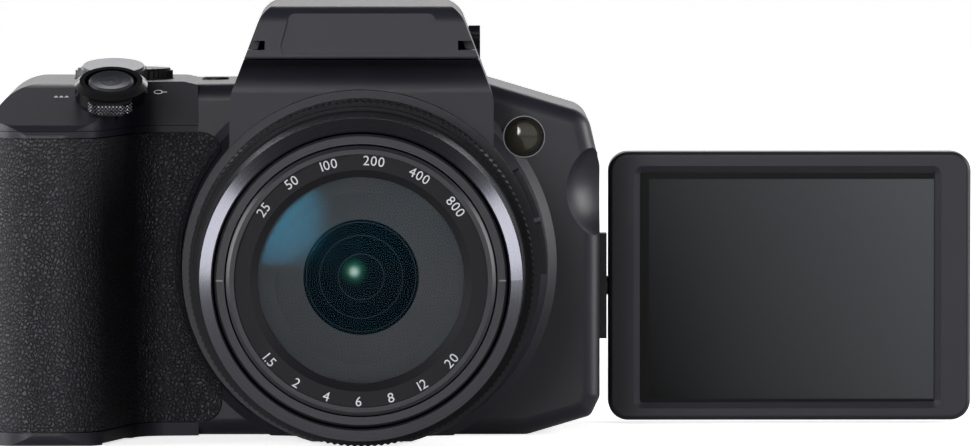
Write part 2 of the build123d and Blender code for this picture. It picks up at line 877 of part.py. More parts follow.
def dome(frame, radius, sag, thick, low):
    """A lens whose outer face bulges by sag over a rim. The ball's poles lie beside the face."""
    sphere_radius = (radius ** 2 + sag ** 2) / (2 * sag)
    ball = frame.location * Pos(0, 0, low + thick + sag - sphere_radius) * Rot(X=quarter_turn) * Sphere(sphere_radius)
    return rod(frame, radius, low, low + thick + sag) & ball


def make_lens_housing():
    """The fixed tube that the zoom barrels run in, with its flange in front of the collar."""
    rear, flange, front = -housing_rear, -collar_front + slip, -housing_front
    ring_seat = -ring_rear
    return turned(lens_frame, [
        (front_ring_bore, rear),
        (housing_tube_radius - shaft_slip, rear),
        (housing_tube_radius - shaft_slip, flange),
        (ring_tooth_radius, flange),
        (ring_tooth_radius, ring_seat),
        (housing_radius - ring_tooth_depth, ring_seat),
        (housing_radius - ring_tooth_depth, front),
        (front_ring_bore, front),
    ])


def make_lens_ring():
    """The toothed ring round the front of the housing."""
    inner = housing_radius - ring_tooth_depth + shaft_slip
    outline = toothed(ring_teeth, ring_tooth_radius, ring_tooth_radius - ring_tooth_depth)
    ring = outline - Circle(inner)
    return lens_frame.location * extrude(Pos(0, 0, -ring_rear) * ring, amount=ring_rear - ring_front)


def make_front_ring():
    """The smooth ring in front, which the barrels slide through."""
    rear, front = -housing_front, -front_ring_front
    edge = front_ring_chamfer
    return turned(lens_frame, [
        (front_ring_bore, rear),
        (front_ring_radius + edge / 2, rear),
        (front_ring_radius, rear + edge),
        (front_ring_radius - edge / 2, front - front_ring_bevel),
        (front_ring_bore + edge / 3, front),
        (front_ring_bore, front - edge / 2),
    ])


def make_outer_barrel():
    """The first zoom barrel."""
    rear, front = -outer_barrel_rear, -outer_barrel_front
    edge = front_ring_chamfer / 2
    return turned(lens_frame, [
        (outer_barrel_bore, rear),
        (outer_barrel_radius, rear),
        (outer_barrel_radius, front - edge),
        (outer_barrel_radius - edge, front),
        (outer_barrel_bore, front),
    ])


def make_inner_barrel():
    """The second zoom barrel, with the stepped rim that the name ring sits in."""
    rear, front = -inner_barrel_rear, -inner_barrel_front
    seat = front - name_ring_depth
    return turned(lens_frame, [
        (inner_barrel_bore - barrel_wall, rear),
        (inner_barrel_radius, rear),
        (inner_barrel_radius, front - name_ring_drop),
        (inner_barrel_radius - name_ring_drop, front),
        (inner_barrel_bore, front),
        (inner_barrel_bore, seat),
        (inner_barrel_bore - barrel_wall, seat),
    ])


def make_name_ring():
    """The flat ring round the front glass, which falls away in a cone to the glass."""
    front = -inner_barrel_front - name_ring_drop
    rear = -inner_barrel_front - name_ring_depth
    return turned(lens_frame, [
        (name_ring_bore, rear),
        (inner_barrel_bore - shaft_slip, rear),
        (inner_barrel_bore - shaft_slip, front),
        (name_ring_step, front),
        (name_ring_bore, front - glass_edge / 2),
    ])


def make_front_lens():
    """The domed front glass, seated behind the name ring."""
    seat = -inner_barrel_front - name_ring_depth
    return dome(lens_frame, name_ring_bore - slip / 2, glass_sag - glass_edge / 4, glass_edge / 2,
                seat - glass_edge / 2 + glass_edge / 4) \
        + rod(lens_frame, inner_barrel_bore - barrel_wall - slip / 2, seat - glass_edge, seat)


def make_baffle():
    """The stepped cone behind the front glass that ends in the throat."""
    front = -inner_barrel_front - name_ring_depth - glass_edge
    step = baffle_depth / 3
    outer = inner_barrel_bore - barrel_wall - slip / 2
    middle = baffle_throat + (outer - baffle_throat) * baffle_step_share
    skin = baffle_wall
    return turned(lens_frame, [
        (outer - skin, front),
        (outer, front),
        (outer, front - step - skin),
        (middle + skin, front - step * 2 - skin),
        (baffle_throat, front - baffle_depth - skin),
        (baffle_throat, front - baffle_depth),
        (middle, front - step * 2),
        (middle, front - step * 2 + skin),
        (outer - skin, front - step),
    ])


def make_second_lens():
    """The lens seen at the bottom of the throat, in its cell."""
    front = -inner_barrel_front - name_ring_depth - glass_edge - baffle_depth - baffle_wall
    radius = baffle_throat + baffle_wall
    low = front - second_lens_thick - second_lens_sag
    return dome(lens_frame, radius, second_lens_sag, second_lens_thick - slip, low)


def make_second_cell():
    """The ring that carries the second lens inside the inner barrel."""
    front = -inner_barrel_front - name_ring_depth - glass_edge - baffle_depth - baffle_wall
    radius = baffle_throat + baffle_wall
    low = front - second_lens_thick - second_lens_sag
    outer = inner_barrel_bore - barrel_wall - shaft_slip
    return tube(lens_frame, outer, radius + shaft_slip, low, low + second_lens_thick)


def make_guide():
    """The rear wall of the lens unit, which carries the housing and the sensor."""
    rear, front = -guide_rear_y, -housing_rear
    plate = tube(lens_frame, housing_tube_radius - shaft_slip, focus_group_radius / 2, rear, rear + frame_thick)
    rim = tube(lens_frame, housing_tube_radius - shaft_slip, front_ring_bore, rear, front)
    cup = tube(lens_frame, focus_group_radius + frame_thick + slip, focus_group_radius + slip,
               rear, rear + focus_group_length)
    return plate + rim + cup


def make_focus_group():
    """The rear lens group in its cup."""
    low = -guide_rear_y + frame_thick
    return tube(lens_frame, focus_group_radius + slip, focus_group_radius * focus_bore_share, low, low + focus_group_length)


def make_focus_lens():
    """The glass of the rear group."""
    low = -guide_rear_y + frame_thick + slip
    return rod(lens_frame, focus_group_radius * focus_bore_share, low, low + focus_group_length * focus_glass_share)


def make_zoom_motor():
    """The geared motor that drives the zoom, beside the lens unit."""
    frame = Plane((motor_x, motor_y, motor_z), x_dir=(1, 0, 0), z_dir=(0, 0, 1))
    body = rod(frame, zoom_motor_radius, 0, zoom_motor_length)
    gearbox = rod(frame, zoom_motor_radius + frame_thick, -zoom_motor_radius, 0)
    shaft = rod(frame, dial_shaft_radius, -zoom_motor_radius - frame_thick, -zoom_motor_radius)
    half = zoom_motor_radius / 2
    bracket = block(motor_x - half, motor_x + half, body_front + wall, motor_y,
                    motor_z + frame_thick, motor_z + zoom_motor_length - frame_thick)
    return body + gearbox + shaft + bracket


def make_sensor():
    """The image sensor on its carrier, on the rear wall of the lens unit."""
    rear = -guide_rear_y
    carrier = block(-sensor_size_x, sensor_size_x, -rear, -rear + frame_thick,
                    axis_z - sensor_size_z, axis_z + sensor_size_z)
    chip = block(-sensor_size_x / 2, sensor_size_x / 2, -rear + frame_thick, -rear + frame_thick + sensor_thick,
                 axis_z - sensor_size_z / 2, axis_z + sensor_size_z / 2)
    return carrier + chip


def make_lamp():
    """The autofocus lamp: a bezel and a domed window."""
    bezel = tube(lamp_frame, lamp_radius, lamp_radius - lamp_bezel, -lamp_depth, lamp_bezel / 2)
    lens = dome(lamp_frame, lamp_radius - lamp_bezel - shaft_slip, lamp_bezel, lamp_depth / 2, -lamp_depth)
    return bezel, lens


def framing_button(angle):
    """A curved button on the side of the collar."""
    outer = Circle(framing_radius) - Circle(framing_radius - framing_thick)
    reach = framing_radius * 2
    half = radians(framing_half_angle)
    middle = radians(angle)
    wedge = make_face(Polyline(
        (0, 0),
        (reach * cos(middle - half), reach * sin(middle - half)),
        (reach * cos(middle + half), reach * sin(middle + half)),
        close=True))
    ring = Pos(0, axis_z) * (outer & wedge)
    return along_y(ring, framing_front, framing_rear)


def framing_room(angle):
    """The slot in the collar for a framing button."""
    outer = Circle(framing_radius + slip) - Circle(framing_radius - framing_thick - slip - framing_travel)
    reach = framing_radius * 2
    half = radians(framing_half_angle) + slip / framing_radius
    middle = radians(angle)
    wedge = make_face(Polyline(
        (0, 0),
        (reach * cos(middle - half), reach * sin(middle - half)),
        (reach * cos(middle + half), reach * sin(middle + half)),
        close=True))
    ring = Pos(0, axis_z) * (outer & wedge)
    return along_y(ring, framing_front - slip, framing_rear + slip)


def make_shutter_button():
    """The dished two-stage button with its stem."""
    top = shutter_height
    edge = shutter_dome
    return turned(shutter_frame, [
        (0, -shutter_stem_length),
        (shutter_stem_radius, -shutter_stem_length),
        (shutter_stem_radius, top - shutter_cap_thick),
        (shutter_radius, top - shutter_cap_thick),
        (shutter_radius, top - edge),
        (shutter_radius - edge, top),
        (shutter_radius / 2, top - edge / 2),
        (0, top - edge * shutter_dish_share),
    ])


def make_zoom_lever():
    """The ring lever round the shutter button, with a tab at its front."""
    low, high = lever_low, lever_low + lever_height
    edge = shutter_dome
    ring = turned(shutter_frame, [
        (lever_bore, low),
        (lever_radius, low),
        (lever_radius, high - edge * 2),
        (lever_radius - edge * 2, high),
        (lever_bore, high),
    ])
    tab = rounded([(-lever_tab_half, 0), (-lever_tab_half, -lever_tab_reach),
                   (lever_tab_half, -lever_tab_reach), (lever_tab_half, 0)],
                  [0, lever_tab_half / 2, lever_tab_half / 2, 0])
    tab = extrude(Pos(0, 0, low) * (tab - Circle((lever_bore + lever_radius) / 2)), amount=high - edge * 2 - low)
    return ring + shutter_frame.location * tab


def make_front_dial():
    """The knurled dial behind the shutter button, on its shaft."""
    rim = toothed(dial_teeth, front_dial_radius, front_dial_radius - dial_tooth_depth)
    disc = extrude(Pos(0, 0, -front_dial_thick) * rim, amount=front_dial_thick - shutter_dome)
    cap = Pos(0, 0, -shutter_dome) * Cylinder(front_dial_radius - shutter_dome, shutter_dome,
                                             align=(Align.CENTER, Align.CENTER, Align.MIN))
    shaft = rod(Plane.XY, dial_shaft_radius, -front_dial_thick - dial_shaft_length, -front_dial_thick)
    return front_dial_frame.location * (disc + cap + shaft)


def make_mode_dial():
    """The knurled mode dial on its shaft."""
    rim = toothed(dial_teeth, mode_dial_radius, mode_dial_radius - dial_tooth_depth)
    disc = along_z(rim, mode_dial_low_z, mode_dial_top_z - shutter_dome)
    cap = rod(Plane.XY, mode_dial_radius - shutter_dome, mode_dial_top_z - shutter_dome, mode_dial_top_z)
    shaft = rod(Plane.XY, dial_shaft_radius, mode_dial_low_z - dial_shaft_length, mode_dial_low_z)
    return mode_dial_frame.location * (disc + cap + shaft)


def push_button(frame, radius, wall_thick):
    """A round button held by a flange behind the wall."""
    rear = -wall_thick - button_travel / 2
    return turned(frame, [
        (0, rear - button_flange_thick),
        (radius + button_flange, rear - button_flange_thick),
        (radius + button_flange, rear),
        (radius, rear),
        (radius, button_proud - shutter_dome / 2),
        (radius - shutter_dome / 2, button_proud),
        (0, button_proud),
    ])


def make_pad():
    """The four-way pad, a ring that rocks round the set button."""
    frame = rear_frame(pad_x, pad_z)
    edge = shutter_dome * 2
    return turned(frame, [
        (pad_bore, -wall),
        (pad_radius, -wall),
        (pad_radius, pad_proud - edge),
        (pad_radius - edge, pad_proud),
        (pad_bore + edge, pad_proud),
        (pad_bore, pad_proud - edge),
    ])


def base_seat():
    """The thick floor over the base plate, which the socket and the screws hold in."""
    top = plate_thick + seat_thick
    return block(foot_left - wall, foot_right + wall, foot_front, foot_rear, plate_thick - seam, top)


def seat_holes():
    """The holes in the thick floor for the socket and the screws."""
    top = plate_thick + seat_thick
    holes = [rod(Plane((x, y, 0)), screw_shank + seam, -overrun, top + slip) for x, y in screw_places()]
    return holes + [rod(Plane.XY, socket_outer + seam, -overrun, top + slip)]


def screen_outline(grow):
    """The outline of the screen panel, seen from the front."""
    left, right = panel_near - grow, panel_far + grow
    low, high = panel_low - grow, panel_low + panel_high + grow
    return rounded([(left, low), (right, low), (right, high), (left, high)], panel_round + grow)


def window_outline(grow):
    """The window in the screen's bezel."""
    left, right = panel_near + bezel_hinge_side - grow, panel_far - bezel_outer_side + grow
    low, high = panel_low + bezel_bottom - grow, panel_low + panel_high - bezel_top + grow
    return rounded([(left, low), (right, low), (right, high), (left, high)], bezel_bevel / 2 + grow)


def tilt_bore():
    """The bore in the screen panel for the tilt shaft."""
    frame = Plane((0, swing_y, panel_mid_z), x_dir=(0, 1, 0), z_dir=(1, 0, 0))
    return rod(frame, tilt_shaft_radius + shaft_slip, panel_near - overrun,
               panel_near + tilt_shaft_length + slip)


def make_screen():
    """The bezel, rear shell, display and window of the screen panel."""
    split = panel_front + bezel_thick
    front = along_y(screen_outline(0), panel_front, split)
    front = fillet(front.faces().sort_by(Axis.Y)[0].edges(), panel_edge_round)
    opening = along_y(window_outline(0), panel_front - overrun, split + overrun)
    glass_face = panel_front + screen_glass_drop
    bevel = loft([
        Plane((0, panel_front, 0), x_dir=(1, 0, 0), z_dir=(0, -1, 0)) * window_outline(bezel_bevel),
        Plane((0, glass_face, 0), x_dir=(1, 0, 0), z_dir=(0, -1, 0)) * window_outline(0),
    ])
    bezel = front - opening - bevel
    shell = along_y(screen_outline(0), split, panel_rear)
    shell = fillet(shell.faces().sort_by(Axis.Y)[-1].edges(), panel_edge_round)
    inside = along_y(screen_outline(-wall), split - overrun, panel_rear - wall)
    boss = block(panel_near, panel_near + tilt_shaft_length, split, panel_rear - wall,
                 panel_mid_z - tilt_shaft_radius * 2, panel_mid_z + tilt_shaft_radius * 2)
    shell = shell - inside + boss - tilt_bore()
    bezel = bezel - tilt_bore()
    glass = along_y(window_outline(-seam), glass_face, glass_face + screen_glass_thick)
    display = along_y(window_outline(-seam), glass_face + screen_glass_thick,
                      glass_face + screen_glass_thick + display_thick)
    rows = window_outline(bezel_bevel)
    tray = along_y(rows, split, split + frame_thick) - along_y(window_outline(0), split, split + frame_thick)
    return bezel, shell, glass, display, tray


def make_neck():
    """The hinge neck: a knuckle on the swing axis, an arm, and the tilt shaft."""
    knuckle = rod(swing_frame, knuckle_radius, neck_low, neck_top)
    pins = rod(swing_frame, swing_pin_radius, neck_low - swing_pin_length, neck_top + swing_pin_length)
    arm = block(swing_x, panel_near - arm_end_gap, swing_y - arm_thick / 2, swing_y + arm_thick / 2,
                neck_low, neck_top)
    frame = Plane((0, swing_y, panel_mid_z), x_dir=(0, 1, 0), z_dir=(1, 0, 0))
    shaft = rod(frame, tilt_shaft_radius, swing_x, panel_near + tilt_shaft_length)
    return knuckle + pins + arm + shaft


def eyecup_outline(grow):
    """The eyecup, seen from behind."""
    low, high = eyecup_low - grow, eyecup_high + grow
    half = eyecup_half + grow
    return rounded([(-half, low), (half, low), (half, high), (-half, high)], eyecup_round + grow)


def make_eyecup():
    """The soft cup round the finder, drawn in towards its bevelled rear rim."""
    def level(y, grow):
        return Plane((0, y, 0), x_dir=(1, 0, 0), z_dir=(0, -1, 0)) * eyecup_outline(grow)

    rear, draw = body_rear + eyecup_reach, eyecup_wall / 2
    outside = loft([level(body_rear, 0), level(rear - eyecup_rim, -draw),
                    level(rear - eyecup_rim / 4, -draw - eyecup_rim / 4),
                    level(rear, -draw - eyecup_rim)], ruled=True)
    return outside - along_y(eyecup_outline(-eyecup_wall), body_rear - overrun, rear + overrun)


def make_eyepiece():
    """The finder's window and the holder that it sits in."""
    middle = (eyecup_low + eyecup_high) / 2
    half, tall = eye_lens_half, eye_lens_high / 2
    points = [(-half, middle - tall), (half, middle - tall), (half, middle + tall), (-half, middle + tall)]
    lens = along_y(rounded(points, eyecup_round / 2), body_rear + seam, body_rear + eye_lens_thick)
    outline = eyecup_outline(-eyecup_wall - seam)
    holder = along_y(outline, body_rear, body_rear + eye_lens_thick)
    holder = holder - along_y(rounded(points, eyecup_round / 2), body_rear - overrun, body_rear + overrun)
    return lens, holder


def make_finder():
    """The finder's housing with its small display."""
    low, high = finder_low, finder_high
    case = block(-finder_half, finder_half, finder_front, body_rear - wall, low, high)
    bore = block(-eye_lens_half, eye_lens_half, finder_front + wall, body_rear,
                 low + frame_thick, high - frame_thick)
    display = block(-eye_lens_half, eye_lens_half, finder_front + wall, finder_front + 2 * wall,
                    low + frame_thick, high - frame_thick)
    return case - bore, display


def finder_port():
    """The hole in the rear wall that the finder looks through."""
    middle = (eyecup_low + eyecup_high) / 2
    half, tall = eye_lens_half - frame_thick, eye_lens_high / 2 - frame_thick
    return block(-half, half, body_rear - wall - overrun, body_rear + overrun, middle - tall, middle + tall)


def make_flash():
    """The window, reflector, tube and hinge pin of the flash."""
    window = block(-window_half, window_half, window_front, window_front + window_thick, window_low, window_high)
    back = window_front + window_thick
    outside = block(-window_half, window_half, back, back + reflector_depth, window_low, window_high)
    inside = along_x(make_face(Polyline(
        (back, window_low + reflector_wall),
        (back + reflector_depth - 2 * tube_radius - reflector_wall, window_low + 2 * reflector_wall),
        (back + reflector_depth - reflector_wall, (window_low + window_high) / 2 - tube_radius),
        (back + reflector_depth - reflector_wall, (window_low + window_high) / 2 + tube_radius),
        (back + reflector_depth - 2 * tube_radius - reflector_wall, window_high - 2 * reflector_wall),
        (back, window_high - reflector_wall),
        close=True)), -window_half + reflector_wall, window_half - reflector_wall)
    middle = Plane((0, back + reflector_depth - reflector_wall - tube_radius * tube_place_share, (window_low + window_high) / 2),
                   x_dir=(0, 1, 0), z_dir=(1, 0, 0))
    lamp = rod(middle, tube_radius, -window_half + reflector_wall, window_half - reflector_wall)
    stay = block(-window_half, window_half, back, back + reflector_depth, window_high, hump_top) & hump_hollow()
    far = hinge_ear_near + hinge_ear_wide + slip * 2
    pin = rod(flash_hinge_frame(), hinge_pin_radius, -far, far)
    return window, (outside - inside) + stay, lamp, pin


def make_socket():
    """The threaded metal bush of the tripod socket, with its flange on the thick floor."""
    seat = plate_thick + seat_thick
    top = socket_depth + socket_flange
    return turned(Plane.XY, [
        (socket_bore, 0),
        (socket_outer, 0),
        (socket_outer, seat),
        (socket_outer + socket_flange, seat),
        (socket_outer + socket_flange, seat + socket_flange),
        (socket_outer, seat + socket_flange),
        (socket_outer, top),
        (0, top),
        (0, socket_depth),
        (socket_bore, socket_depth),
    ])


def make_base_plate():
    """The metal base plate round the tripod socket, with its screw holes."""
    plate = along_z(plate_outline(0), 0, plate_thick) - rod(Plane.XY, socket_outer + seam, -overrun, overrun)
    for x, y in screw_places():
        plate = plate - screw(x, y, seam)
    return plate


def make_battery():
    """The battery, with its contacts' recess left plain."""
    form = block(battery_left, battery_left + battery_thick, battery_front, battery_front + battery_wide,
                 battery_low, battery_low + battery_high)
    return fillet(form.edges().filter_by(Axis.Z), box_wall)


def make_battery_box():
    """The open-bottomed case for the battery and the card."""
    top = battery_low + battery_high + cell_slip
    outside = cell_room(box_wall + cell_slip, battery_low - slip, top + box_wall)
    battery = block(battery_left - cell_slip, battery_left + battery_thick + cell_slip, battery_front - cell_slip,
                    battery_front + battery_wide + cell_slip, 0, top)
    card = block(card_left - cell_slip, card_left + card_thick + cell_slip, card_front - cell_slip,
                 card_front + card_wide + cell_slip, 0, battery_low + card_high + cell_slip)
    return outside - battery - card


def make_card():
    """The memory card."""
    form = block(card_left, card_left + card_thick, card_front, card_front + card_wide,
                 battery_low, battery_low + card_high)
    corner = [edge for edge in form.edges().filter_by(Axis.X) if edge.center().Y < card_front + box_wall]
    return chamfer(corner, box_wall)


def make_battery_door():
    """The battery door with its hinge knuckle, and the sliding catch in it."""
    door = along_z(door_outline(0), 0, door_thick)
    rib = rod(door_hinge_frame, door_knuckle, door_left, door_right)
    rib = rib & block(door_left, door_right, door_front, door_rear + door_knuckle, 0, door_thick + door_knuckle)
    door = (door + rib) - rod(door_hinge_frame, door_pin_radius + shaft_slip, door_left, door_right)
    middle = (door_left + door_right) / 2
    front = door_front + latch_margin
    room = block(middle - latch_long / 2 - slip, middle + latch_long / 2 + latch_travel + slip,
                 front - slip, front + latch_wide + slip, -overrun, latch_drop + door_thick / 2)
    catch = block(middle - latch_long / 2, middle + latch_long / 2, front, front + latch_wide,
                  latch_drop / 2, latch_drop + door_thick / 2 - slip / 3)
    return door - room, catch


def terminal_hinge():
    """The upright hinge axis of the terminal cover."""
    return Plane((-body_left + terminal_pin_inset, terminal_front + terminal_pin_inset, 0))


def make_terminals():
    """The cover over the jacks, its hinge pin and the jacks behind it."""
    cover = along_x(terminal_outline(0), -body_left, -body_left + terminal_thick)
    edges = [edge for edge in cover.edges().filter_by(Axis.Z) if edge.center().Y < terminal_front + seam]
    cover = fillet(edges, terminal_pin_inset * terminal_edge_share)
    hinge = terminal_hinge()
    cover = cover - rod(hinge, terminal_pin_radius + shaft_slip, terminal_low - overrun, terminal_high + overrun)
    reach = terminal_round / 2
    pin = rod(hinge, terminal_pin_radius, terminal_low - reach, terminal_high + reach)
    middle = (terminal_front + terminal_rear) / 2
    face = -body_left + terminal_thick + slip + seam
    jacks = []
    for height, wide, tall in socket_row:
        skin = frame_thick / 2
        shell = block(face, face + terminal_depth, middle - tall / 2 - skin, middle + tall / 2 + skin,
                      height - wide / 2 - skin, height + wide / 2 + skin)
        mouth = block(face - overrun, face + terminal_depth - skin, middle - tall / 2, middle + tall / 2,
                      height - wide / 2, height + wide / 2)
        tongue = block(face + skin, face + terminal_depth, middle - skin / 2, middle + skin / 2,
                       height - wide / 3, height + wide / 3)
        jacks.append(shell - mouth + tongue)
    return cover, pin, jacks


def jack_mouths():
    """The holes in the grip's side for the jacks and the cover's hinge pin."""
    middle = (terminal_front + terminal_rear) / 2
    skin = frame_thick / 2 + seam
    holes = [block(-body_left - overrun, -body_left + terminal_depth + overrun, middle - tall / 2 - skin,
                   middle + tall / 2 + skin, height - wide / 2 - skin, height + wide / 2 + skin)
             for height, wide, tall in socket_row]
    reach = terminal_round / 2 + slip
    holes.append(rod(terminal_hinge(), terminal_pin_radius + shaft_slip, terminal_low - reach, terminal_high + reach))
    return holes


def make_strap_bars():
    """The upright metal bars: one across the right pocket, one across the left hollow."""
    reach = strap_pocket_half + strap_seat
    right = rod(Plane((body_right - strap_bar_drop - strap_bar_radius,
                       (strap_pocket_front + strap_pocket_rear) / 2, strap_right_z)),
                strap_bar_radius, -reach, reach)
    left = rod(Plane((-body_left + strap_left_bar_drop + strap_bar_radius, strap_left_y, strap_left_z)),
               strap_bar_radius, -strap_left_radius, strap_left_radius)
    return right, left


def make_boards():
    """The main board, the switch board behind the rear controls and the metal frame."""
    left, right = grip_inner + wall, body_right - wall - slip * 2
    main = block(left, right - zoom_motor_radius * 2, board_front, board_front + board_thick,
                 plate_thick + wall * 2, body_top - wall * 6)
    chips = [block(x, x + chip_side, board_front + board_thick, board_front + 2 * board_thick,
                   z, z + chip_side) for x, z in chip_places]
    face = body_rear - wall - rubber_thick - button_travel * switch_room_share - button_flange_thick - slip
    switch = block(-body_left + wall * 4, grip_valley_x + wall * 3, face - board_thick, face,
                   plate_thick + wall * 2, rubber_high - wall)
    frame = block(left + frame_inset, right - frame_inset, frame_y, frame_y + frame_thick, frame_low, recess_high)
    return [main] + chips, switch, frame


def make_capacitor():
    """The flash capacitor, in the corner below the lens."""
    frame = Plane((capacitor_x, capacitor_y, capacitor_z), x_dir=(0, 0, 1), z_dir=(1, 0, 0))
    return rod(frame, capacitor_radius, 0, capacitor_length)


def screw(x, y, grow=0):
    """A flat-headed screw in the base plate."""
    return turned(Plane((x, y, 0)), [
        (0, 0),
        (screw_head + grow, 0),
        (screw_shank + grow, screw_head - screw_shank),
        (screw_shank + grow, screw_length),
        (0, screw_length),
    ])


def screw_places():
    """The four corners of the base plate, one margin in."""
    margin = screw_head * 2
    return [(x, y) for x in (foot_left + margin, foot_right - margin)
            for y in (foot_front + margin, foot_rear - margin)]


def write_covers():
    """Write the covers, the rubber and the flash head."""
    front, rear, top, rubber, head = make_covers()
    bezel, lamp = make_lamp()
    thumb = along_y(thumb_outline(0), body_rear - wall / 2, body_rear + thumb_proud)
    write("front_cover", front + bezel)
    write("rear_cover", rear)
    write("top_cover", top)
    write("rubber_grips", rubber, fillet(thumb.faces().sort_by(Axis.Y)[-1].edges(), thumb_edge_round))
    write("lamp_lens", lamp)
    write("flash_head", head)


def write_lens():
    """Write the fixed and the sliding parts of the lens."""
    write("lens_housing", make_lens_housing())
    write("lens_ring", make_lens_ring())
    write("front_ring", make_front_ring())
    write("lens_guide", make_guide())
    write("focus_group", make_focus_group(), make_focus_lens())
    write("zoom_motor", make_zoom_motor())
    write("image_sensor", make_sensor())
    write("outer_barrel", make_outer_barrel())
    write("inner_barrel", make_inner_barrel())
    write("name_ring", make_name_ring())
    write("front_lens", make_front_lens())
    write("lens_baffle", make_baffle(), make_second_cell())
    write("second_lens", make_second_lens())


def write_controls():
    """Write the shutter button, lever, dials and push buttons."""
    write("shutter_button", make_shutter_button())
    write("zoom_lever", make_zoom_lever())
    write("front_dial", make_front_dial())
    write("mode_dial", make_mode_dial())
    write("power_button", push_button(power_frame, power_radius, wall * 2))
    for number, angle in enumerate(framing_angles):
        write(f"framing_button_{number + 1}", framing_button(angle))
    for name, (x, z, radius) in rear_buttons.items():
        write(name, push_button(rear_frame(x, z), radius, wall + rubber_thick))
    write("four_way_pad", make_pad())
    write("set_button", push_button(rear_frame(pad_x, pad_z), set_radius, wall + rubber_thick))
    write("dioptre_dial", make_dioptre_dial())


def make_dioptre_dial():
    """The small toothed dial beside the eyecup, on its shaft."""
    rim = toothed(dial_teeth // 2, dioptre_radius, dioptre_radius - dial_tooth_depth)
    disc = extrude(Pos(0, 0, -dioptre_thick / 2) * rim, amount=dioptre_thick)
    shaft = rod(Plane.XY, dial_shaft_radius, -dioptre_shaft_end, -dioptre_thick / 2)
    return dioptre_frame.location * (disc + shaft)


def write_screen():
    """Write the screen panel and its hinge neck."""
    bezel, shell, glass, display, tray = make_screen()
    write("screen_bezel", bezel)
    write("screen_shell", shell)
    write("screen_glass", glass)
    write("screen_display", display, tray)
    write("screen_neck", make_neck())


def write_finder_and_flash():
    """Write the finder, the eyecup and what the flash head holds."""
    lens, holder = make_eyepiece()
    case, display = make_finder()
    window, reflector, lamp, pin = make_flash()
    cover, terminal_pin, jacks = make_terminals()
    write("eyecup", make_eyecup())
    write("eyepiece_lens", lens)
    write("finder_housing", case, display, holder)
    write("flash_window", window)
    write("flash_reflector", reflector, lamp)
    write("hinge_pins", pin, terminal_pin, door_pin_form(0))
    write("terminal_cover", cover)
    write("terminal_jacks", *jacks)


def write_base():
    """Write the base, the battery bay and the inner boards."""
    door, catch = make_battery_door()
    boards, switch, frame = make_boards()
    write("tripod_socket", make_socket())
    write("base_plate", make_base_plate())
    write("base_screws", *[screw(x, y) for x, y in screw_places()])
    write("battery", make_battery())
    write("battery_box", make_battery_box())
    write("memory_card", make_card())
    write("battery_door", door)
    write("door_catch", catch)
    write("strap_bars", *make_strap_bars())
    write("circuit_boards", *boards, switch)
    write("inner_frame", frame)
    write("flash_capacitor", make_capacitor())


if __name__ == "__main__":
    write_covers()
    write_lens()
    write_controls()
    write_screen()
    write_finder_and_flash()
    write_base()
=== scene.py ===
"""Looks of a bridge camera with a fixed long zoom: finishes, cut and printed details, studio and camera."""

import logging
import math
from dataclasses import dataclass, field
from enum import Enum
from functools import lru_cache

import bpy
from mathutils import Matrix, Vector


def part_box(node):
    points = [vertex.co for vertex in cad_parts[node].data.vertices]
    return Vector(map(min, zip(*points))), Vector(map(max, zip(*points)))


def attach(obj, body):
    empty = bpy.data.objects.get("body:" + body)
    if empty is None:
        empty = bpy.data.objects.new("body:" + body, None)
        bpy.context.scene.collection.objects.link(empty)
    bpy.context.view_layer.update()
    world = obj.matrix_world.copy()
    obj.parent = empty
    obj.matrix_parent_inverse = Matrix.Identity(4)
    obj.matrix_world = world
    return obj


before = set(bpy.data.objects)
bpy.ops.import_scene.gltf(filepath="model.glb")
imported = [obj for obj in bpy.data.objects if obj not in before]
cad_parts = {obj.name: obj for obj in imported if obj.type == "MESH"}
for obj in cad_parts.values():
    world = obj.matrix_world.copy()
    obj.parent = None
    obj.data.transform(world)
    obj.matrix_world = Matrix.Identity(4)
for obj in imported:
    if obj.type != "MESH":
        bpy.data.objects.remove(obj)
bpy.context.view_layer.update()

log = logging.getLogger("bridge_camera")
MM = 0.001                      # metres in a millimetre

Tree = bpy.types.NodeTree
Node = bpy.types.Node
Socket = bpy.types.NodeSocket
Pair = tuple[float, float]
Point = tuple[float, float, float]
Outline = list[Pair]
Shape = tuple[list[Vector], list[tuple[int, ...]]]

# the curve from sRGB to linear light: straight up to the knee, a power above it
SRGB_KNEE = 0.04045
SRGB_SLOPE = 12.92
SRGB_OFFSET = 0.055
SRGB_POWER = 2.4

# the Mix node's sockets by number, since those of its kinds share their names
FACTOR, FLOAT_A, FLOAT_B, COLOUR_A, COLOUR_B = 0, 2, 3, 6, 7
COLOUR_RESULT = 2

NOISE_SPAN = (0.3, 0.7)         # nearly all of a noise lies between these
WAVE_RATE = 20                  # the wave node's own factor on its scale
BRICK_ROW = 0.25                # height of the brick node's rows at a scale of 1
WHITE = (1.0, 1.0, 1.0, 1.0)


def linear(code: str) -> tuple[float, float, float, float]:
    """Turn an sRGB hex colour to the linear one that a shader takes.

    Args:
        code: The colour as "#rrggbb".

    Returns:
        Red, green, blue and a full alpha.
    """
    parts = [int(code[start:start + 2], 16) / 255 for start in (1, 3, 5)]
    bent = [part / SRGB_SLOPE if part <= SRGB_KNEE
            else ((part + SRGB_OFFSET) / (1 + SRGB_OFFSET)) ** SRGB_POWER for part in parts]
    return bent[0], bent[1], bent[2], 1.0


def metres(place: Point) -> Point:
    """The same place in metres."""
    return place[0] * MM, place[1] * MM, place[2] * MM


def per_metre(size_mm: float) -> float:
    """The pattern scale that gives features of a size in millimetres."""
    return 1.0 / (size_mm * MM)


def empty_tree(owner: bpy.types.Material | bpy.types.World) -> Tree:
    """Switch on the nodes of a material or world and take out those that it came with.

    Args:
        owner: The material or world.

    Returns:
        Its node tree.
    """
    owner.use_nodes = True
    owner.node_tree.nodes.clear()
    return owner.node_tree


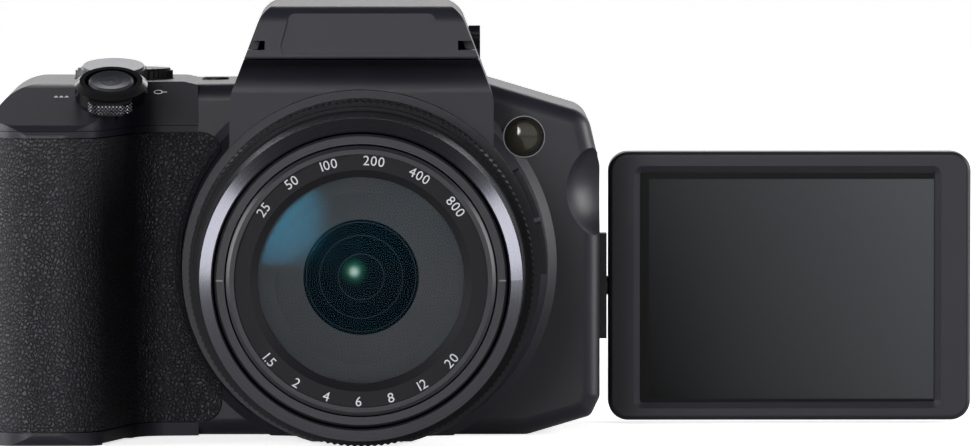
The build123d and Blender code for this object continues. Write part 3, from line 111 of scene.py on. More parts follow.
def set_up(tree: Tree, node: Node, settings: dict | None = None, links: dict | None = None) -> Node:
    """Give a node its settings and links.

    Args:
        tree: The node tree that it is in.
        node: The node.
        settings: Values by name; a name in small letters is the node's own, any other is a socket's.
        links: What feeds it, by the name or number of its input: a socket, or a node for its first output.

    Returns:
        The node.
    """
    for key, value in (settings or {}).items():
        if isinstance(key, str) and key.islower():
            setattr(node, key, value)
        else:
            node.inputs[key].default_value = value
    for key, source in (links or {}).items():
        tree.links.new(source.outputs[0] if isinstance(source, Node) else source, node.inputs[key])
    return node


def add_node(tree: Tree, kind: str, settings: dict | None = None, links: dict | None = None) -> Node:
    """Add a node with its settings and links.

    Args:
        tree: The node tree to add to.
        kind: The node's type.
        settings: As for set_up.
        links: As for set_up.

    Returns:
        The new node.
    """
    return set_up(tree, tree.nodes.new(kind), settings, links)


class Slot(Enum):
    """The record's material slots that a new piece can take its finish from."""

    GLOSS = "gloss_black"


class Axis(Enum):
    """What a piece was turned about, as the share of each direction that lies across it."""

    LENS = (1.0, 0.0, 1.0)
    UPRIGHT = (1.0, 1.0, 0.0)


@dataclass(frozen=True)
class Finish:
    """A finish: a name, and nodes that draw it on a shader."""

    name: str

    def material(self) -> bpy.types.Material:
        """The finish as a material, made once."""
        return bpy.data.materials.get(self.name) or self.fresh()

    def fresh(self) -> bpy.types.Material:
        """Make the material with its shader and let the finish dress it.

        Returns:
            The new material.
        """
        made = bpy.data.materials.new(self.name)
        tree = empty_tree(made)
        shader = add_node(tree, "ShaderNodeBsdfPrincipled")
        add_node(tree, "ShaderNodeOutputMaterial", {}, {"Surface": shader})
        self.dress(tree, shader, add_node(tree, "ShaderNodeTexCoord").outputs["Object"])
        return made

    def dress(self, tree: Tree, shader: Node, place: Socket) -> None:
        """Add the finish's own nodes.

        Args:
            tree: The material's node tree.
            shader: Its surface shader.
            place: The point in metres, in the piece's own frame.
        """


@dataclass(frozen=True)
class Textured(Finish):
    """A finish whose colour, gloss and relief follow patterns with features of one size."""

    colour: str
    second: str
    roughness: Pair
    size_mm: float
    depth_mm: float
    strength: float = 0.5

    def cover(self, tree: Tree, shader: Node, tint_by: Node, relief: Node, gloss_by: Node | None = None,
              span: Pair = NOISE_SPAN) -> None:
        """Let patterns drive the shader's colour, gloss and relief.

        Args:
            tree: The material's node tree.
            shader: Its surface shader.
            tint_by: The pattern that leads from the first colour to the second.
            relief: The pattern of the relief.
            gloss_by: The pattern of the gloss, where it isn't that of the relief.
            span: The pattern's values at which the roughness reaches its two ends.
        """
        tint = add_node(tree, "ShaderNodeMix",
                        {"data_type": "RGBA", COLOUR_A: linear(self.colour), COLOUR_B: linear(self.second)},
                        {FACTOR: tint_by})
        gloss = add_node(tree, "ShaderNodeMapRange",
                         {"From Min": span[0], "From Max": span[1],
                          "To Min": self.roughness[0], "To Max": self.roughness[1]},
                         {"Value": gloss_by or relief})
        bump = add_node(tree, "ShaderNodeBump", {"Strength": self.strength, "Distance": self.depth_mm * MM},
                        {"Height": relief})
        set_up(tree, shader, {},
               {"Base Color": tint.outputs[COLOUR_RESULT], "Roughness": gloss, "Normal": bump})


@dataclass(frozen=True)
class MouldedPlastic(Textured):
    """Moulded plastic, or printed ink: a fine grain, with soft cloudiness in the colour."""

    cloud_mm: float = 9.0
    coat: float = 0.0
    sheen_level: float = 0.3

    def dress(self, tree: Tree, shader: Node, place: Socket) -> None:
        """Cloudy colour, and the grain in gloss and relief.

        Args:
            tree: The material's node tree.
            shader: Its surface shader.
            place: The point in metres.
        """
        cloud = add_node(tree, "ShaderNodeTexNoise", {"Scale": per_metre(self.cloud_mm), "Detail": 3.0},
                         {"Vector": place})
        grain = add_node(tree, "ShaderNodeTexNoise", {"Scale": per_metre(self.size_mm), "Detail": 2.0},
                         {"Vector": place})
        self.cover(tree, shader, cloud, grain)
        set_up(tree, shader, {"IOR": 1.52, "Specular IOR Level": self.sheen_level,
                              "Coat Weight": self.coat, "Coat Roughness": 0.06})


@dataclass(frozen=True)
class PebbledRubber(Textured):
    """Soft rubber pressed in a leather-grain mould: rounded pebbles, with painted shade darkening the creases
    between them.
    """

    colour: str = "#0b0b0e"     # of the creases, darkened as painted shade
    second: str = "#202027"     # of the pebbles
    roughness: Pair = (0.66, 0.42)
    size_mm: float = 0.85
    depth_mm: float = 0.17
    strength: float = 1.0
    crease_share: float = 0.28
    pore_mm: float = 0.25
    pore_share: float = 0.12
    sheen_level: float = 0.32

    def dress(self, tree: Tree, shader: Node, place: Socket) -> None:
        """Pebbles from cell edges bent by noise, with fine pores on top; painted shade darkens the creases.

        Args:
            tree: The material's node tree.
            shader: Its surface shader.
            place: The point in metres.
        """
        bend = add_node(tree, "ShaderNodeTexNoise", {"Scale": per_metre(self.size_mm * 2), "Detail": 2.0},
                        {"Vector": place})
        moved = add_node(tree, "ShaderNodeVectorMath",
                         {"operation": "MULTIPLY_ADD", 1: (self.size_mm * MM,) * 3},
                         {0: bend.outputs["Color"], 2: place})
        cells = add_node(tree, "ShaderNodeTexVoronoi",
                         {"feature": "DISTANCE_TO_EDGE", "Scale": per_metre(self.size_mm)}, {"Vector": moved})
        height = add_node(tree, "ShaderNodeMapRange",
                          {"interpolation_type": "SMOOTHSTEP", "From Max": self.crease_share},
                          {"Value": cells.outputs["Distance"]})
        pores = add_node(tree, "ShaderNodeTexNoise", {"Scale": per_metre(self.pore_mm)}, {"Vector": place})
        both = add_node(tree, "ShaderNodeMath", {"operation": "MULTIPLY_ADD", 1: self.pore_share},
                        {0: pores, 2: height})
        # painted shade: the colour goes from the crease colour to the pebble colour with the height, so the
        # creases are darker
        self.cover(tree, shader, height, both, height, (0.0, 1.0))
        set_up(tree, shader, {"IOR": 1.5, "Specular IOR Level": self.sheen_level})


@dataclass(frozen=True)
class TurnedFinish(Textured):
    """A part finished on a lathe: fine circles about its axis that draw the light out into a fan."""

    strength: float = 0.6
    metallic: float = 0.0
    sheen_level: float = 0.35
    centre: Point = (0.0, 0.0, 35.8)
    axis: Axis = Axis.LENS
    tilt: float = 0.0           # degrees that an upright axis leans forward

    def dress(self, tree: Tree, shader: Node, place: Socket) -> None:
        """Circles from noise along the distance to the axis.

        Args:
            tree: The material's node tree.
            shader: Its surface shader.
            place: The point in metres.
        """
        moved = add_node(tree, "ShaderNodeVectorMath", {"operation": "SUBTRACT", 1: metres(self.centre)},
                         {0: place})
        level = add_node(tree, "ShaderNodeMapping",
                         {"vector_type": "POINT", "Rotation": (math.radians(-self.tilt), 0.0, 0.0)},
                         {"Vector": moved})
        flat = add_node(tree, "ShaderNodeVectorMath", {"operation": "MULTIPLY", 1: self.axis.value},
                        {0: level})
        radius = add_node(tree, "ShaderNodeVectorMath", {"operation": "LENGTH"}, {0: flat})
        lines = add_node(tree, "ShaderNodeTexNoise",
                         {"noise_dimensions": "1D", "Scale": per_metre(self.size_mm), "Detail": 3.0},
                         {"W": radius.outputs["Value"]})
        self.cover(tree, shader, lines, lines)
        set_up(tree, shader, {"Metallic": self.metallic, "Specular IOR Level": self.sheen_level})


@dataclass(frozen=True)
class SheetMetal(Textured):
    """Rolled, drawn or coated metal: fine streaks along the rolling, or an even grain where it has none."""

    depth_mm: float = 0.01
    strength: float = 0.3
    stretch: Point = (1.0, 1.0, 1.0)

    def dress(self, tree: Tree, shader: Node, place: Socket) -> None:
        """Streaks from noise that is stretched along the rolling.

        Args:
            tree: The material's node tree.
            shader: Its surface shader.
            place: The point in metres.
        """
        drawn = add_node(tree, "ShaderNodeVectorMath", {"operation": "MULTIPLY", 1: self.stretch}, {0: place})
        streaks = add_node(tree, "ShaderNodeTexNoise", {"Scale": per_metre(self.size_mm), "Detail": 3.0},
                           {"Vector": drawn})
        self.cover(tree, shader, streaks, streaks)
        set_up(tree, shader, {"Metallic": 1.0})


@dataclass(frozen=True)
class CoatedGlass(Finish):
    """Ground glass with a thin coating, which tints what it mirrors, under a faint wiped film."""

    colour: str
    mirror: str
    roughness: Pair = (0.0, 0.02)
    ior: float = 1.6
    film_mm: float = 14.0
    film_span: Pair = (0.4, 0.8)

    def dress(self, tree: Tree, shader: Node, place: Socket) -> None:
        """Clear glass, a tinted mirror image, and the film in the gloss.

        Args:
            tree: The material's node tree.
            shader: Its surface shader.
            place: The point in metres.
        """
        film = add_node(tree, "ShaderNodeTexNoise", {"Scale": per_metre(self.film_mm), "Detail": 4.0},
                        {"Vector": place})
        gloss = add_node(tree, "ShaderNodeMapRange",
                         {"From Min": self.film_span[0], "From Max": self.film_span[1],
                          "To Min": self.roughness[0], "To Max": self.roughness[1]}, {"Value": film})
        set_up(tree, shader, {"Base Color": linear(self.colour), "Transmission Weight": 1.0, "IOR": self.ior,
                              "Specular Tint": linear(self.mirror)}, {"Roughness": gloss})


@dataclass(frozen=True)
class RibbedClear(Finish):
    """Clear moulded plastic with fine upright ribs that spread the light."""

    colour: str = "#e6e9ec"
    second: str = "#c9ced2"
    roughness: float = 0.12
    transmission: float = 0.7
    rib_mm: float = 0.9         # the pitch of the ribs over two pi, as the wave node takes it
    depth_mm: float = 0.2
    strength: float = 0.8
    cloud_mm: float = 4.0

    def dress(self, tree: Tree, shader: Node, place: Socket) -> None:
        """Upright ribs in the relief, with a little cloudiness.

        Args:
            tree: The material's node tree.
            shader: Its surface shader.
            place: The point in metres.
        """
        ribs = add_node(tree, "ShaderNodeTexWave",
                        {"bands_direction": "X", "Scale": per_metre(self.rib_mm) / WAVE_RATE},
                        {"Vector": place})
        cloud = add_node(tree, "ShaderNodeTexNoise", {"Scale": per_metre(self.cloud_mm)}, {"Vector": place})
        tint = add_node(tree, "ShaderNodeMix",
                        {"data_type": "RGBA", COLOUR_A: linear(self.colour), COLOUR_B: linear(self.second)},
                        {FACTOR: cloud})
        bump = add_node(tree, "ShaderNodeBump", {"Strength": self.strength, "Distance": self.depth_mm * MM},
                        {"Height": ribs.outputs["Fac"]})
        set_up(tree, shader, {"Transmission Weight": self.transmission, "Roughness": self.roughness},
               {"Base Color": tint.outputs[COLOUR_RESULT], "Normal": bump})


@dataclass(frozen=True)
class DisplayPanel(Finish):
    """A switched-off display under its polariser: near black, with a painted sheen that pales towards its upper
    outer corner.
    """

    dark: str = "#0c0d0e"
    # painted sheen: the pale end of the fade, towards the upper outer corner
    painted_light_pale: str = "#535558"
    low: Point = (60.0, 0.0, 2.0)
    slope: Point = (0.86, 0.0, 0.5)
    painted_light_reach_mm: float = 95.0
    cell_mm: float = 0.3        # cells are a third of this, too fine to show, so they are drawn coarser
    cell_shade: float = 0.93
    roughness: float = 0.12
    sheen_level: float = 0.1

    def dress(self, tree: Tree, shader: Node, place: Socket) -> None:
        """A painted sheen as a slow fade across the panel, and the faint grid of its cells.

        Args:
            tree: The material's node tree.
            shader: Its surface shader.
            place: The point in metres.
        """
        # painted sheen: dark to pale along a slope across the panel
        moved = add_node(tree, "ShaderNodeVectorMath", {"operation": "SUBTRACT", 1: metres(self.low)},
                         {0: place})
        along = add_node(tree, "ShaderNodeVectorMath", {"operation": "DOT_PRODUCT", 1: self.slope}, {0: moved})
        share = add_node(tree, "ShaderNodeMapRange", {"From Max": self.painted_light_reach_mm * MM},
                         {"Value": along.outputs["Value"]})
        tint = add_node(tree, "ShaderNodeMix",
                        {"data_type": "RGBA", COLOUR_A: linear(self.dark), COLOUR_B: linear(self.painted_light_pale)},
                        {FACTOR: share})
        cells = add_node(tree, "ShaderNodeTexChecker",
                         {"Scale": per_metre(self.cell_mm), "Color1": WHITE,
                          "Color2": (self.cell_shade,) * 3 + (1.0,)}, {"Vector": place})
        both = add_node(tree, "ShaderNodeMix", {"data_type": "RGBA", "blend_type": "MULTIPLY", FACTOR: 1.0},
                        {COLOUR_A: tint.outputs[COLOUR_RESULT], COLOUR_B: cells})
        set_up(tree, shader, {"Roughness": self.roughness, "Specular IOR Level": self.sheen_level},
               {"Base Color": both.outputs[COLOUR_RESULT]})


@dataclass(frozen=True)
class DeepLens(Finish):
    """The group deep in the lens: opaque black as painted shade, with a painted green reflection pale at its
    heart.
    """

    # painted light: black as painted shade of the dark deep in the lens, green as a painted reflection round a
    # middle off the axis, pale as a painted highlight at its heart
    black: str = "#030304"
    green: str = "#3a9c7b"
    painted_light_pale: str = "#c4e4dc"
    middle: Point = (-1.3, 0.0, 36.8)
    painted_light_reach_mm: float = 3.2
    painted_highlight_power: float = 7.0
    roughness: float = 0.4
    sheen_level: float = 0.03

    def dress(self, tree: Tree, shader: Node, place: Socket) -> None:
        """A painted green reflection, pale at its heart as painted highlight, that fades outward and is broken
        by a slow cloud.

        Args:
            tree: The material's node tree.
            shader: Its surface shader.
            place: The point in metres.
        """
        moved = add_node(tree, "ShaderNodeVectorMath", {"operation": "SUBTRACT", 1: metres(self.middle)},
                         {0: place})
        flat = add_node(tree, "ShaderNodeVectorMath", {"operation": "MULTIPLY", 1: Axis.LENS.value},
                        {0: moved})
        radius = add_node(tree, "ShaderNodeVectorMath", {"operation": "LENGTH"}, {0: flat})
        share = add_node(tree, "ShaderNodeMapRange",
                         {"interpolation_type": "SMOOTHERSTEP", "From Max": self.painted_light_reach_mm * MM,
                          "To Min": 1.0, "To Max": 0.0}, {"Value": radius.outputs["Value"]})
        cloud = add_node(tree, "ShaderNodeTexNoise", {"Scale": per_metre(self.painted_light_reach_mm)}, {"Vector": place})
        glow = add_node(tree, "ShaderNodeMath", {"operation": "MULTIPLY"}, {0: share, 1: cloud})
        # painted reflection: black to green, then pale at its heart as painted highlight
        tint = add_node(tree, "ShaderNodeMix",
                        {"data_type": "RGBA", COLOUR_A: linear(self.black), COLOUR_B: linear(self.green)},
                        {FACTOR: glow})
        painted_highlight_heart = add_node(tree, "ShaderNodeMath", {"operation": "POWER", 1: self.painted_highlight_power}, {0: share})
        both = add_node(tree, "ShaderNodeMix", {"data_type": "RGBA", COLOUR_B: linear(self.painted_light_pale)},
                        {FACTOR: painted_highlight_heart, COLOUR_A: tint.outputs[COLOUR_RESULT]})
        set_up(tree, shader, {"Roughness": self.roughness, "Specular IOR Level": self.sheen_level},
               {"Base Color": both.outputs[COLOUR_RESULT]})


@dataclass(frozen=True)
class LacqueredBoard(Finish):
    """A glass-fibre circuit board: green lacquer over copper lines."""

    colour: str = "#0f5a34"
    second: str = "#0c4b2b"
    line: str = "#2c8a55"
    track_mm: float = 2.0
    line_share: float = 0.03
    depth_mm: float = 0.05
    strength: float = 0.4
    roughness: float = 0.3
    coat: float = 0.5

    def dress(self, tree: Tree, shader: Node, place: Socket) -> None:
        """Lines from a brick pattern, a little raised.

        Args:
            tree: The material's node tree.
            shader: Its surface shader.
            place: The point in metres.
        """
        upright = add_node(tree, "ShaderNodeMapping", {"Rotation": (math.radians(90), 0.0, 0.0)},
                           {"Vector": place})
        lines = add_node(tree, "ShaderNodeTexBrick",
                         {"Scale": per_metre(self.track_mm) * BRICK_ROW, "Mortar Size": self.line_share,
                          "Color1": linear(self.colour), "Color2": linear(self.second),
                          "Mortar": linear(self.line)}, {"Vector": upright})
        bump = add_node(tree, "ShaderNodeBump", {"Strength": self.strength, "Distance": self.depth_mm * MM},
                        {"Height": lines.outputs["Fac"]})
        set_up(tree, shader, {"Roughness": self.roughness, "Coat Weight": self.coat},
               {"Base Color": lines, "Normal": bump})


# The real grain of a mould, circles of a lathe and streaks of rolling are finer than the sizes given here:
# each is drawn as coarse as it needs to show.

# ABS from a spark-eroded mould: an even, dry black with a faint blue cast and soft highlights
BODY_ABS = MouldedPlastic("abs_spark_textured", "#18181f", "#202028", roughness=(0.34, 0.44), size_mm=0.32,
                          depth_mm=0.03)
# polycarbonate from a satin mould: smoother than the body, so edges and curves show as clear bright lines
SATIN_PC = MouldedPlastic("polycarbonate_satin_moulded", "#141419", "#19191f", roughness=(0.26, 0.34),
                          size_mm=0.2, depth_mm=0.008)
# painted shade: the same, darker and with less gloss, so that the tube and the ring round the lens, which lie
# in shadow, stay the darkest
LENS_PC_PAINTED_SHADE = MouldedPlastic("polycarbonate_painted_shade", "#0c0c0f", "#101014", roughness=(0.3, 0.4),
                         size_mm=0.2, depth_mm=0.008, sheen_level=0.12)
# polished ABS: deep black with sharp highlights
GLOSS_ABS = MouldedPlastic("abs_polished", "#060608", "#09090b", roughness=(0.1, 0.16), size_mm=0.6,
                           depth_mm=0.004, cloud_mm=12.0, coat=0.2, sheen_level=0.2)
# thermoplastic rubber with a leather grain: dull creases, darkened as painted shade, round pebbles that catch
# the light
GRIP_RUBBER = PebbledRubber("rubber_leather_grain_painted_crease_shade")
# soft rubber from a matt mould: almost no highlight
EYECUP_RUBBER = MouldedPlastic("rubber_matt_moulded", "#101011", "#161617", roughness=(0.68, 0.82),
                               size_mm=0.4, depth_mm=0.04)

# turned and anodised aluminium: the front ring's bevel catches the side lights as a broad pale band
RING_PAINT = TurnedFinish("aluminium_turned_anodised_black", "#48484e", "#525259", roughness=(0.22, 0.3),
                          size_mm=0.16, depth_mm=0.005, metallic=0.9)
# glass-filled polycarbonate of the barrels: dark grey with the faintest turned lines
BARREL_PC = TurnedFinish("polycarbonate_barrel_turned", "#1e1e24", "#25252b", roughness=(0.3, 0.42),
                         size_mm=0.25, depth_mm=0.01)
# matt black paint under the numbers: dark and even, so that they stand out
NAME_PAINT = TurnedFinish("polycarbonate_matt_black_painted", "#0f0f12", "#151518", roughness=(0.4, 0.52),
                          size_mm=0.25, depth_mm=0.008, sheen_level=0.14)
# matt grey paint inside the front group: an even grey without highlights
BAFFLE_PAINT = TurnedFinish("polycarbonate_matt_painted", "#46474a", "#4e4f52", roughness=(0.6, 0.75),
                            size_mm=0.5, depth_mm=0.01)
# spun and anodised aluminium of the shutter button's cap: dark, with a narrow fan of light
SPUN_CAP = TurnedFinish("aluminium_spun_anodised", "#2b2c33", "#3a3b44", roughness=(0.26, 0.36),
                        size_mm=0.14, depth_mm=0.012, metallic=0.55, centre=(-51.5, -31.6, 71.0),
                        axis=Axis.UPRIGHT, tilt=24.0)
# turned aluminium of the front dial: paler, with a wider fan
DIAL_CAP = TurnedFinish("aluminium_dial_turned", "#55565a", "#6c6d72", roughness=(0.3, 0.42),
                        size_mm=0.2, depth_mm=0.015, metallic=0.5, centre=(-51.5, -15.3, 77.1),
                        axis=Axis.UPRIGHT, tilt=12.0)
# polycarbonate of the mode dial, turned after moulding: black with a dull fan
MODE_CAP = TurnedFinish("polycarbonate_dial_turned", "#1d1d20", "#242428", roughness=(0.34, 0.46),
                        size_mm=0.25, depth_mm=0.01, centre=(-49.8, 3.6, 75.0), axis=Axis.UPRIGHT)
# bright turned steel of the tripod socket: clear circles round the hole
SOCKET_STEEL = TurnedFinish("steel_turned_bright", "#94959a", "#aaabb0", roughness=(0.22, 0.34),
                            size_mm=0.3, depth_mm=0.03, metallic=1.0, centre=(0.0, 0.0, 0.0),
                            axis=Axis.UPRIGHT)

# zinc-plated steel wire and sheet: bright grey with fine streaks
STEEL = SheetMetal("steel_zinc_plated_drawn", "#8d8e92", "#a5a6aa", roughness=(0.26, 0.42), size_mm=0.35,
                   stretch=(0.08, 1.0, 1.0))
# pressed steel sheet: duller, with wider streaks
PRESSED_STEEL = SheetMetal("steel_pressed_dull", "#6f7074", "#828387", roughness=(0.4, 0.55), size_mm=0.6,
                           stretch=(0.08, 1.0, 1.0))
# aluminium coated in a vacuum: nearly a mirror
REFLECTOR = SheetMetal("aluminium_vacuum_coated", "#d9dadc", "#e4e5e6", roughness=(0.06, 0.14), size_mm=3.0)
# painted highlight: a pale metal ring laid on the rim of a moulded bezel, which shows as a thin pale circle
RIM_PAINTED_HIGHLIGHT = SheetMetal("rim_painted_highlight", "#77787d", "#8a8b90", roughness=(0.16, 0.24), size_mm=0.4)
# painted highlight: a paler metal on the knurling than the lever's black, so that its ridges show pale on black
KNURL_PAINTED_HIGHLIGHT = SheetMetal("knurl_painted_highlight", "#3e3f44", "#5c5d63", roughness=(0.26, 0.4), size_mm=0.4)

# front glass: its coating swallows most of the mirror image and leaves the rest blue-green
FRONT_GLASS = CoatedGlass("glass_ground_blue_coated", "#f4f2f0", "#1a4c60")
# the group behind it: a painted green reflection with a pale painted highlight, over black as painted shade
SECOND_GLASS = DeepLens("glass_green_painted_reflection_and_shade")
# eyepiece: clear, with a pale violet mirror image
EYEPIECE_GLASS = CoatedGlass("glass_ground_eyepiece", "#dfe6ea", "#c6d2ff")
# cover glass bonded to the polariser: the two are one dark panel to the eye, with a painted sheen that is paler
# towards the light
SCREEN_WINDOW = DisplayPanel("glass_float_bonded_painted_sheen")
# the polariser of the display itself: the same painted sheen as a fade, though the bonded window hides it
DISPLAY = DisplayPanel("display_polariser_painted_sheen")
# smoked acrylic of the autofocus lamp: a dark olive-amber dome with one clear highlight
LAMP_ACRYLIC = RibbedClear("acrylic_moulded_olive", "#35322a", "#3d3a2c", roughness=0.07, transmission=0.0,
                           rib_mm=1.4, depth_mm=0.01)
# clear acrylic of the flash window: milky, since its ribs spread what is behind it
FLASH_ACRYLIC = RibbedClear("acrylic_moulded_ribbed")

# lacquered glass fibre: glossy green with paler tracks
BOARD = LacqueredBoard("glass_fibre_lacquered")
# moulded polycarbonate of the battery's case and the second lens' rings: dark grey and dry
CELL_PLASTIC = MouldedPlastic("polycarbonate_cell_case", "#2a2b2f", "#313238", roughness=(0.4, 0.5),
                              size_mm=0.3, depth_mm=0.02)
# moulded polycarbonate of the card: dark blue
CARD_PLASTIC = MouldedPlastic("polycarbonate_card", "#14203f", "#182649", roughness=(0.3, 0.42),
                              size_mm=0.3, depth_mm=0.015)
# PVC shrunk round the capacitor: blue-black and glossy, a little wavy
SLEEVE = MouldedPlastic("pvc_shrink_sleeve", "#1b1f2b", "#222737", roughness=(0.15, 0.25), size_mm=1.2,
                        depth_mm=0.02)

# screen-printed inks, slightly thick at the edges: pale grey, which reads as white on black
PRINT = MouldedPlastic("ink_screen_printed", "#c4c4c8", "#d2d2d6", roughness=(0.45, 0.6), size_mm=0.25,
                       depth_mm=0.01)
# mid grey, for marks that stay in the background
DIM_PRINT = MouldedPlastic("ink_screen_printed_grey", "#77777c", "#808086", roughness=(0.45, 0.6),
                           size_mm=0.25, depth_mm=0.01)
# black, which hides the edge of what lies under it; round the autofocus lamp it is laid as painted shade
BLACK_PRINT_AND_PAINTED_SHADE = MouldedPlastic("ink_black_printed_and_painted_shade", "#060607", "#09090a", roughness=(0.3, 0.4),
                             size_mm=0.25, depth_mm=0.005, sheen_level=0.1)
# red, for the recording mark
RED_PRINT = MouldedPlastic("ink_screen_printed_red", "#b3262a", "#c03034", roughness=(0.4, 0.5),
                           size_mm=0.25, depth_mm=0.01)


def dress(finishes: dict[str, Finish]) -> None:
    """Give CAD nodes their finishes.

    Args:
        finishes: The finish that each node takes, by the node's name.
    """
    for node, finish in finishes.items():
        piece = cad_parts[node]
        piece.data.materials.clear()
        piece.data.materials.append(finish.material())
        log.info("%s: %s", node, finish.name)


def add_piece(name: str, shapes: list[Shape], finish: Finish, body: str) -> None:
    """Make one object of several shapes, in metres, and let it ride on a body.

    Args:
        name: The piece's name.
        shapes: Vertices and faces of each shape.
        finish: Its finish.
        body: The CAD body that it moves with.
    """
    vertices: list[Vector] = []
    faces: list[tuple[int, ...]] = []
    for points, sides in shapes:
        start = len(vertices)
        vertices.extend(points)
        faces.extend(tuple(start + corner for corner in side) for side in sides)
    mesh = bpy.data.meshes.new(name)
    mesh.from_pydata(vertices, [], faces)
    mesh.validate()
    mesh.update()
    mesh.materials.append(finish.material())
    made = bpy.data.objects.new(name, mesh)
    bpy.context.scene.collection.objects.link(made)
    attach(made, body)
    log.info("%s on %s: %s", name, body, finish.name)


class Facing(Enum):
    """The way that a seat faces: its right, and the direction out of it."""

    FRONT = ((1.0, 0.0, 0.0), (0.0, -1.0, 0.0))
    BACK = ((-1.0, 0.0, 0.0), (0.0, 1.0, 0.0))
    UP = ((1.0, 0.0, 0.0), (0.0, 0.0, 1.0))


@dataclass(frozen=True)
class Seat:
    """A flat seat that small shapes are laid on, in millimetres: right, up and out of the surface."""

    origin: Point
    right: Point
    out: Point

    def at(self, x: float, y: float, z: float) -> Vector:
        """The point in metres at a place on the seat."""
        right, out = Vector(self.right).normalized(), Vector(self.out).normalized()
        return (Vector(self.origin) + right * x + out.cross(right) * y + out * z) * MM

    def prism(self, outline: Outline, low: float, high: float) -> Shape:
        """Raise an outline from the seat.

        Args:
            outline: Its corners in millimetres, anticlockwise as seen from outside.
            low: Where it starts above the seat.
            high: Where it ends.

        Returns:
            The shape in metres.
        """
        count = len(outline)
        points = [self.at(x, y, z) for z in (low, high) for x, y in outline]
        sides = [(i, (i + 1) % count, count + (i + 1) % count, count + i) for i in range(count)]
        return points, sides + [tuple(range(count, 2 * count)), tuple(reversed(range(count)))]


def disc(radius: float, x: float = 0.0, y: float = 0.0, corners: int = 24) -> Outline:
    """A round outline about a point."""
    return [(x + radius * math.cos(math.tau * i / corners), y + radius * math.sin(math.tau * i / corners))
            for i in range(corners)]


def bar(width: float, height: float, x: float = 0.0, y: float = 0.0) -> Outline:
    """An upright rectangle round a point."""
    return [(x - width / 2, y - height / 2), (x + width / 2, y - height / 2),
            (x + width / 2, y + height / 2), (x - width / 2, y + height / 2)]


def arrow(size: float, x: float = 0.0, y: float = 0.0, turn: float = 0.0) -> Outline:
    """A triangle round a point that points to the right before it is turned."""
    return [(x + size * math.cos(turn + math.tau * i / 3), y + size * math.sin(turn + math.tau * i / 3))
            for i in range(3)]


def band(inner: float, outer: float, seat: Seat, low: float, high: float, corners: int = 96) -> Shape:
    """A flat ring raised from a seat.

    Args:
        inner: Its inner radius in millimetres.
        outer: Its outer radius.
        seat: The seat whose origin is its centre.
        low: Where it starts above the seat.
        high: Where it ends.
        corners: How many steps it has.

    Returns:
        The shape in metres.
    """
    points, faces = [], []
    for step in range(corners):
        angle = math.tau * step / corners
        for radius, height in ((inner, low), (outer, low), (outer, high), (inner, high)):
            points.append(seat.at(radius * math.cos(angle), radius * math.sin(angle), height))
        here, there = 4 * step, 4 * ((step + 1) % corners)
        faces += [(here + i, here + (i + 1) % 4, there + (i + 1) % 4, there + i) for i in range(4)]
    return points, faces


INK_THICK = 0.03                # printed ink in millimetres, thick enough to show its edge
CAP_SHARE = 0.7                 # height of a figure as a share of the type size
FIGURE_GAP_SHARE = 0.16         # gap between figures as a share of their height
SPACE_SHARE = 1.3               # width of a space as a share of a figure's height
CURVE_STEPS = 3                 # steps in each curve of a figure
FIGURE_HALF = 0.5               # half the thickness that a figure is cut at, before it is pressed to the ink's


@lru_cache(maxsize=None)
def figure(character: str) -> tuple[tuple[Point, ...], tuple[tuple[int, ...], ...], float]:
    """Cut one figure, a unit high, as a thin solid a unit thick.

    Args:
        character: The figure.

    Returns:
        Its points, its faces, and its width.
    """
    curve = bpy.data.curves.new("figure", "FONT")
    curve.body = character
    curve.size = 1.0 / CAP_SHARE
    curve.resolution_u = CURVE_STEPS
    curve.extrude = FIGURE_HALF
    holder = bpy.data.objects.new("figure", curve)
    bpy.context.scene.collection.objects.link(holder)
    bpy.context.view_layer.update()
    mesh = bpy.data.meshes.new_from_object(holder.evaluated_get(bpy.context.evaluated_depsgraph_get()))
    left = min(vertex.co.x for vertex in mesh.vertices)
    width = max(vertex.co.x for vertex in mesh.vertices) - left
    points = tuple((vertex.co.x - left, vertex.co.y, vertex.co.z + FIGURE_HALF) for vertex in mesh.vertices)
    faces = tuple(tuple(polygon.vertices) for polygon in mesh.polygons)
    bpy.data.objects.remove(holder)
    bpy.data.curves.remove(curve)
    bpy.data.meshes.remove(mesh)
    return points, faces, width


def figures_on_arc(text: str, seat: Seat, radius: float, height: float, middle: float,
                   feet_out: bool) -> list[Shape]:
    """Lay figures round a circle.

    Args:
        text: The figures, with spaces between the numbers.
        seat: The seat whose origin is the circle's centre.
        radius: The radius of the figures' middle line.
        height: The height of a figure.
        middle: The angle of the text's middle, in radians from the right.
        feet_out: Whether the figures' feet point away from the centre.

    Returns:
        One shape per figure.
    """
    widths = [height * (SPACE_SHARE if mark == " " else figure(mark)[2] + FIGURE_GAP_SHARE) for mark in text]
    turn = 1.0 if feet_out else -1.0
    along = -sum(widths) / 2
    shapes = []
    for mark, width in zip(text, widths):
        if mark != " ":
            points, faces, wide = figure(mark)
            angle = middle + turn * (along + width / 2) / radius
            out = Vector((math.cos(angle), math.sin(angle)))
            up = -out if feet_out else out
            right = Vector((up.y, -up.x))
            foot = out * radius - up * height / 2 - right * wide * height / 2
            places = [foot + right * x * height + up * y * height for x, y, _ in points]
            shapes.append(([seat.at(place.x, place.y, point[2] * INK_THICK)
                            for place, point in zip(places, points)], list(faces)))
        along += width
    return shapes


